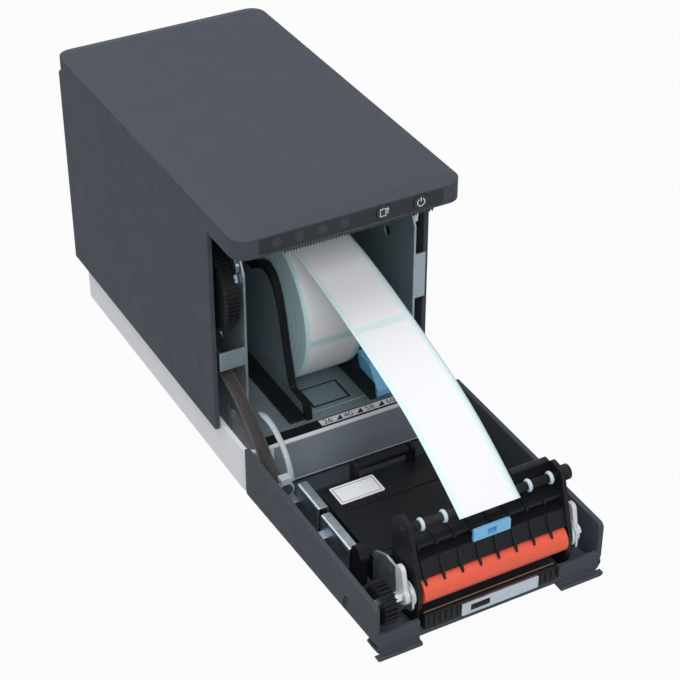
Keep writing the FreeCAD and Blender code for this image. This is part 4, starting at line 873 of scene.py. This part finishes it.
def floor():
    """A wide level plane; the camera sees it almost white, and it keeps a faint shadow."""
    side = np.linspace(-FLOOR_HALF, FLOOR_HALF, 9)
    low = min(corner[2] for corner in cad_box) - 0.0001
    grid = np.stack(np.broadcast_arrays(side[:, None], side[None], low), axis=-1)
    made, tree, _ = shader("studio_floor")
    tree.nodes.remove(tree.nodes["Principled BSDF"])
    where = add(tree, "ShaderNodeTexCoord").outputs["Object"]
    mottle = add(tree, "ShaderNodeTexNoise", {"Vector": where, "Scale": 3.0}).outputs[0]
    matt = add(tree, "ShaderNodeBsdfDiffuse", {0: tint(tree, mottle, (0.46, 0.46, 0.46), (0.49, 0.49, 0.49))})
    glow = add(tree, "ShaderNodeEmission", {0: (1.0, 1.0, 1.0, 1.0), 1: 1.0})
    share = math_node(tree, "MULTIPLY", in_view(tree), FLOOR_GLOW)
    mix = add(tree, "ShaderNodeMixShader", {0: share, 1: matt.outputs[0], 2: glow.outputs[0]})
    tree.links.new(mix.outputs[0], tree.nodes["Material Output"].inputs[0])
    piece = surface("studio_floor", grid, opened(side, side))
    piece.data.materials.append(made)


floor()
world = bpy.data.worlds.new("studio")
bpy.context.scene.world = world
world.use_nodes = True
sky = world.node_tree
backdrop = sky.nodes["Background"]
backdrop.inputs[0].default_value = (1.0, 1.0, 1.0, 1.0)
sky.links.new(span(sky, in_view(sky), 0.0, 1.0, SKY_LIGHT, 1.0), backdrop.inputs[1])


def softbox(name, spot, aim, size, power):
    """A square area lamp at one point, turned to look at another."""
    lamp = bpy.data.lights.new(name, "AREA")
    lamp.energy = power
    lamp.size = size
    holder = bpy.data.objects.new(name, lamp)
    bpy.context.collection.objects.link(holder)
    from_lamp = np.array(aim, float) - np.array(spot, float)
    flat = math.hypot(from_lamp[0], from_lamp[1])
    holder.location = spot
    holder.rotation_euler = (math.atan2(flat, -from_lamp[2]), 0.0, math.atan2(-from_lamp[0], from_lamp[1]))


softbox("top_softbox", (-0.3, 0.4, 1.25), (0.0, 0.05, 0.1), 1.1, 10.0)
softbox("front_softbox", (-0.33, -1.05, 0.95), (0.0, -0.08, 0.1), 1.0, 11.2)

FOCUS_PX, PICTURE_PX, SENSOR_MM = 1902.69, 680.0, 36.0
PITCH, AZIMUTH = 0.61016, 0.49851
CAMERA_SPOT = (-393.37, -708.79, 648.64)
camera = bpy.data.cameras.new("camera")
camera.sensor_width = SENSOR_MM
camera.lens = FOCUS_PX * SENSOR_MM / PICTURE_PX
camera.clip_start = 0.05
viewer = bpy.data.objects.new("camera", camera)
viewer.location = tuple(place(CAMERA_SPOT))
viewer.rotation_euler = (math.pi / 2 - PITCH, 0.0, -AZIMUTH)
bpy.context.collection.objects.link(viewer)
bpy.context.scene.camera = viewer
bpy.context.scene.view_settings.view_transform = "Standard"
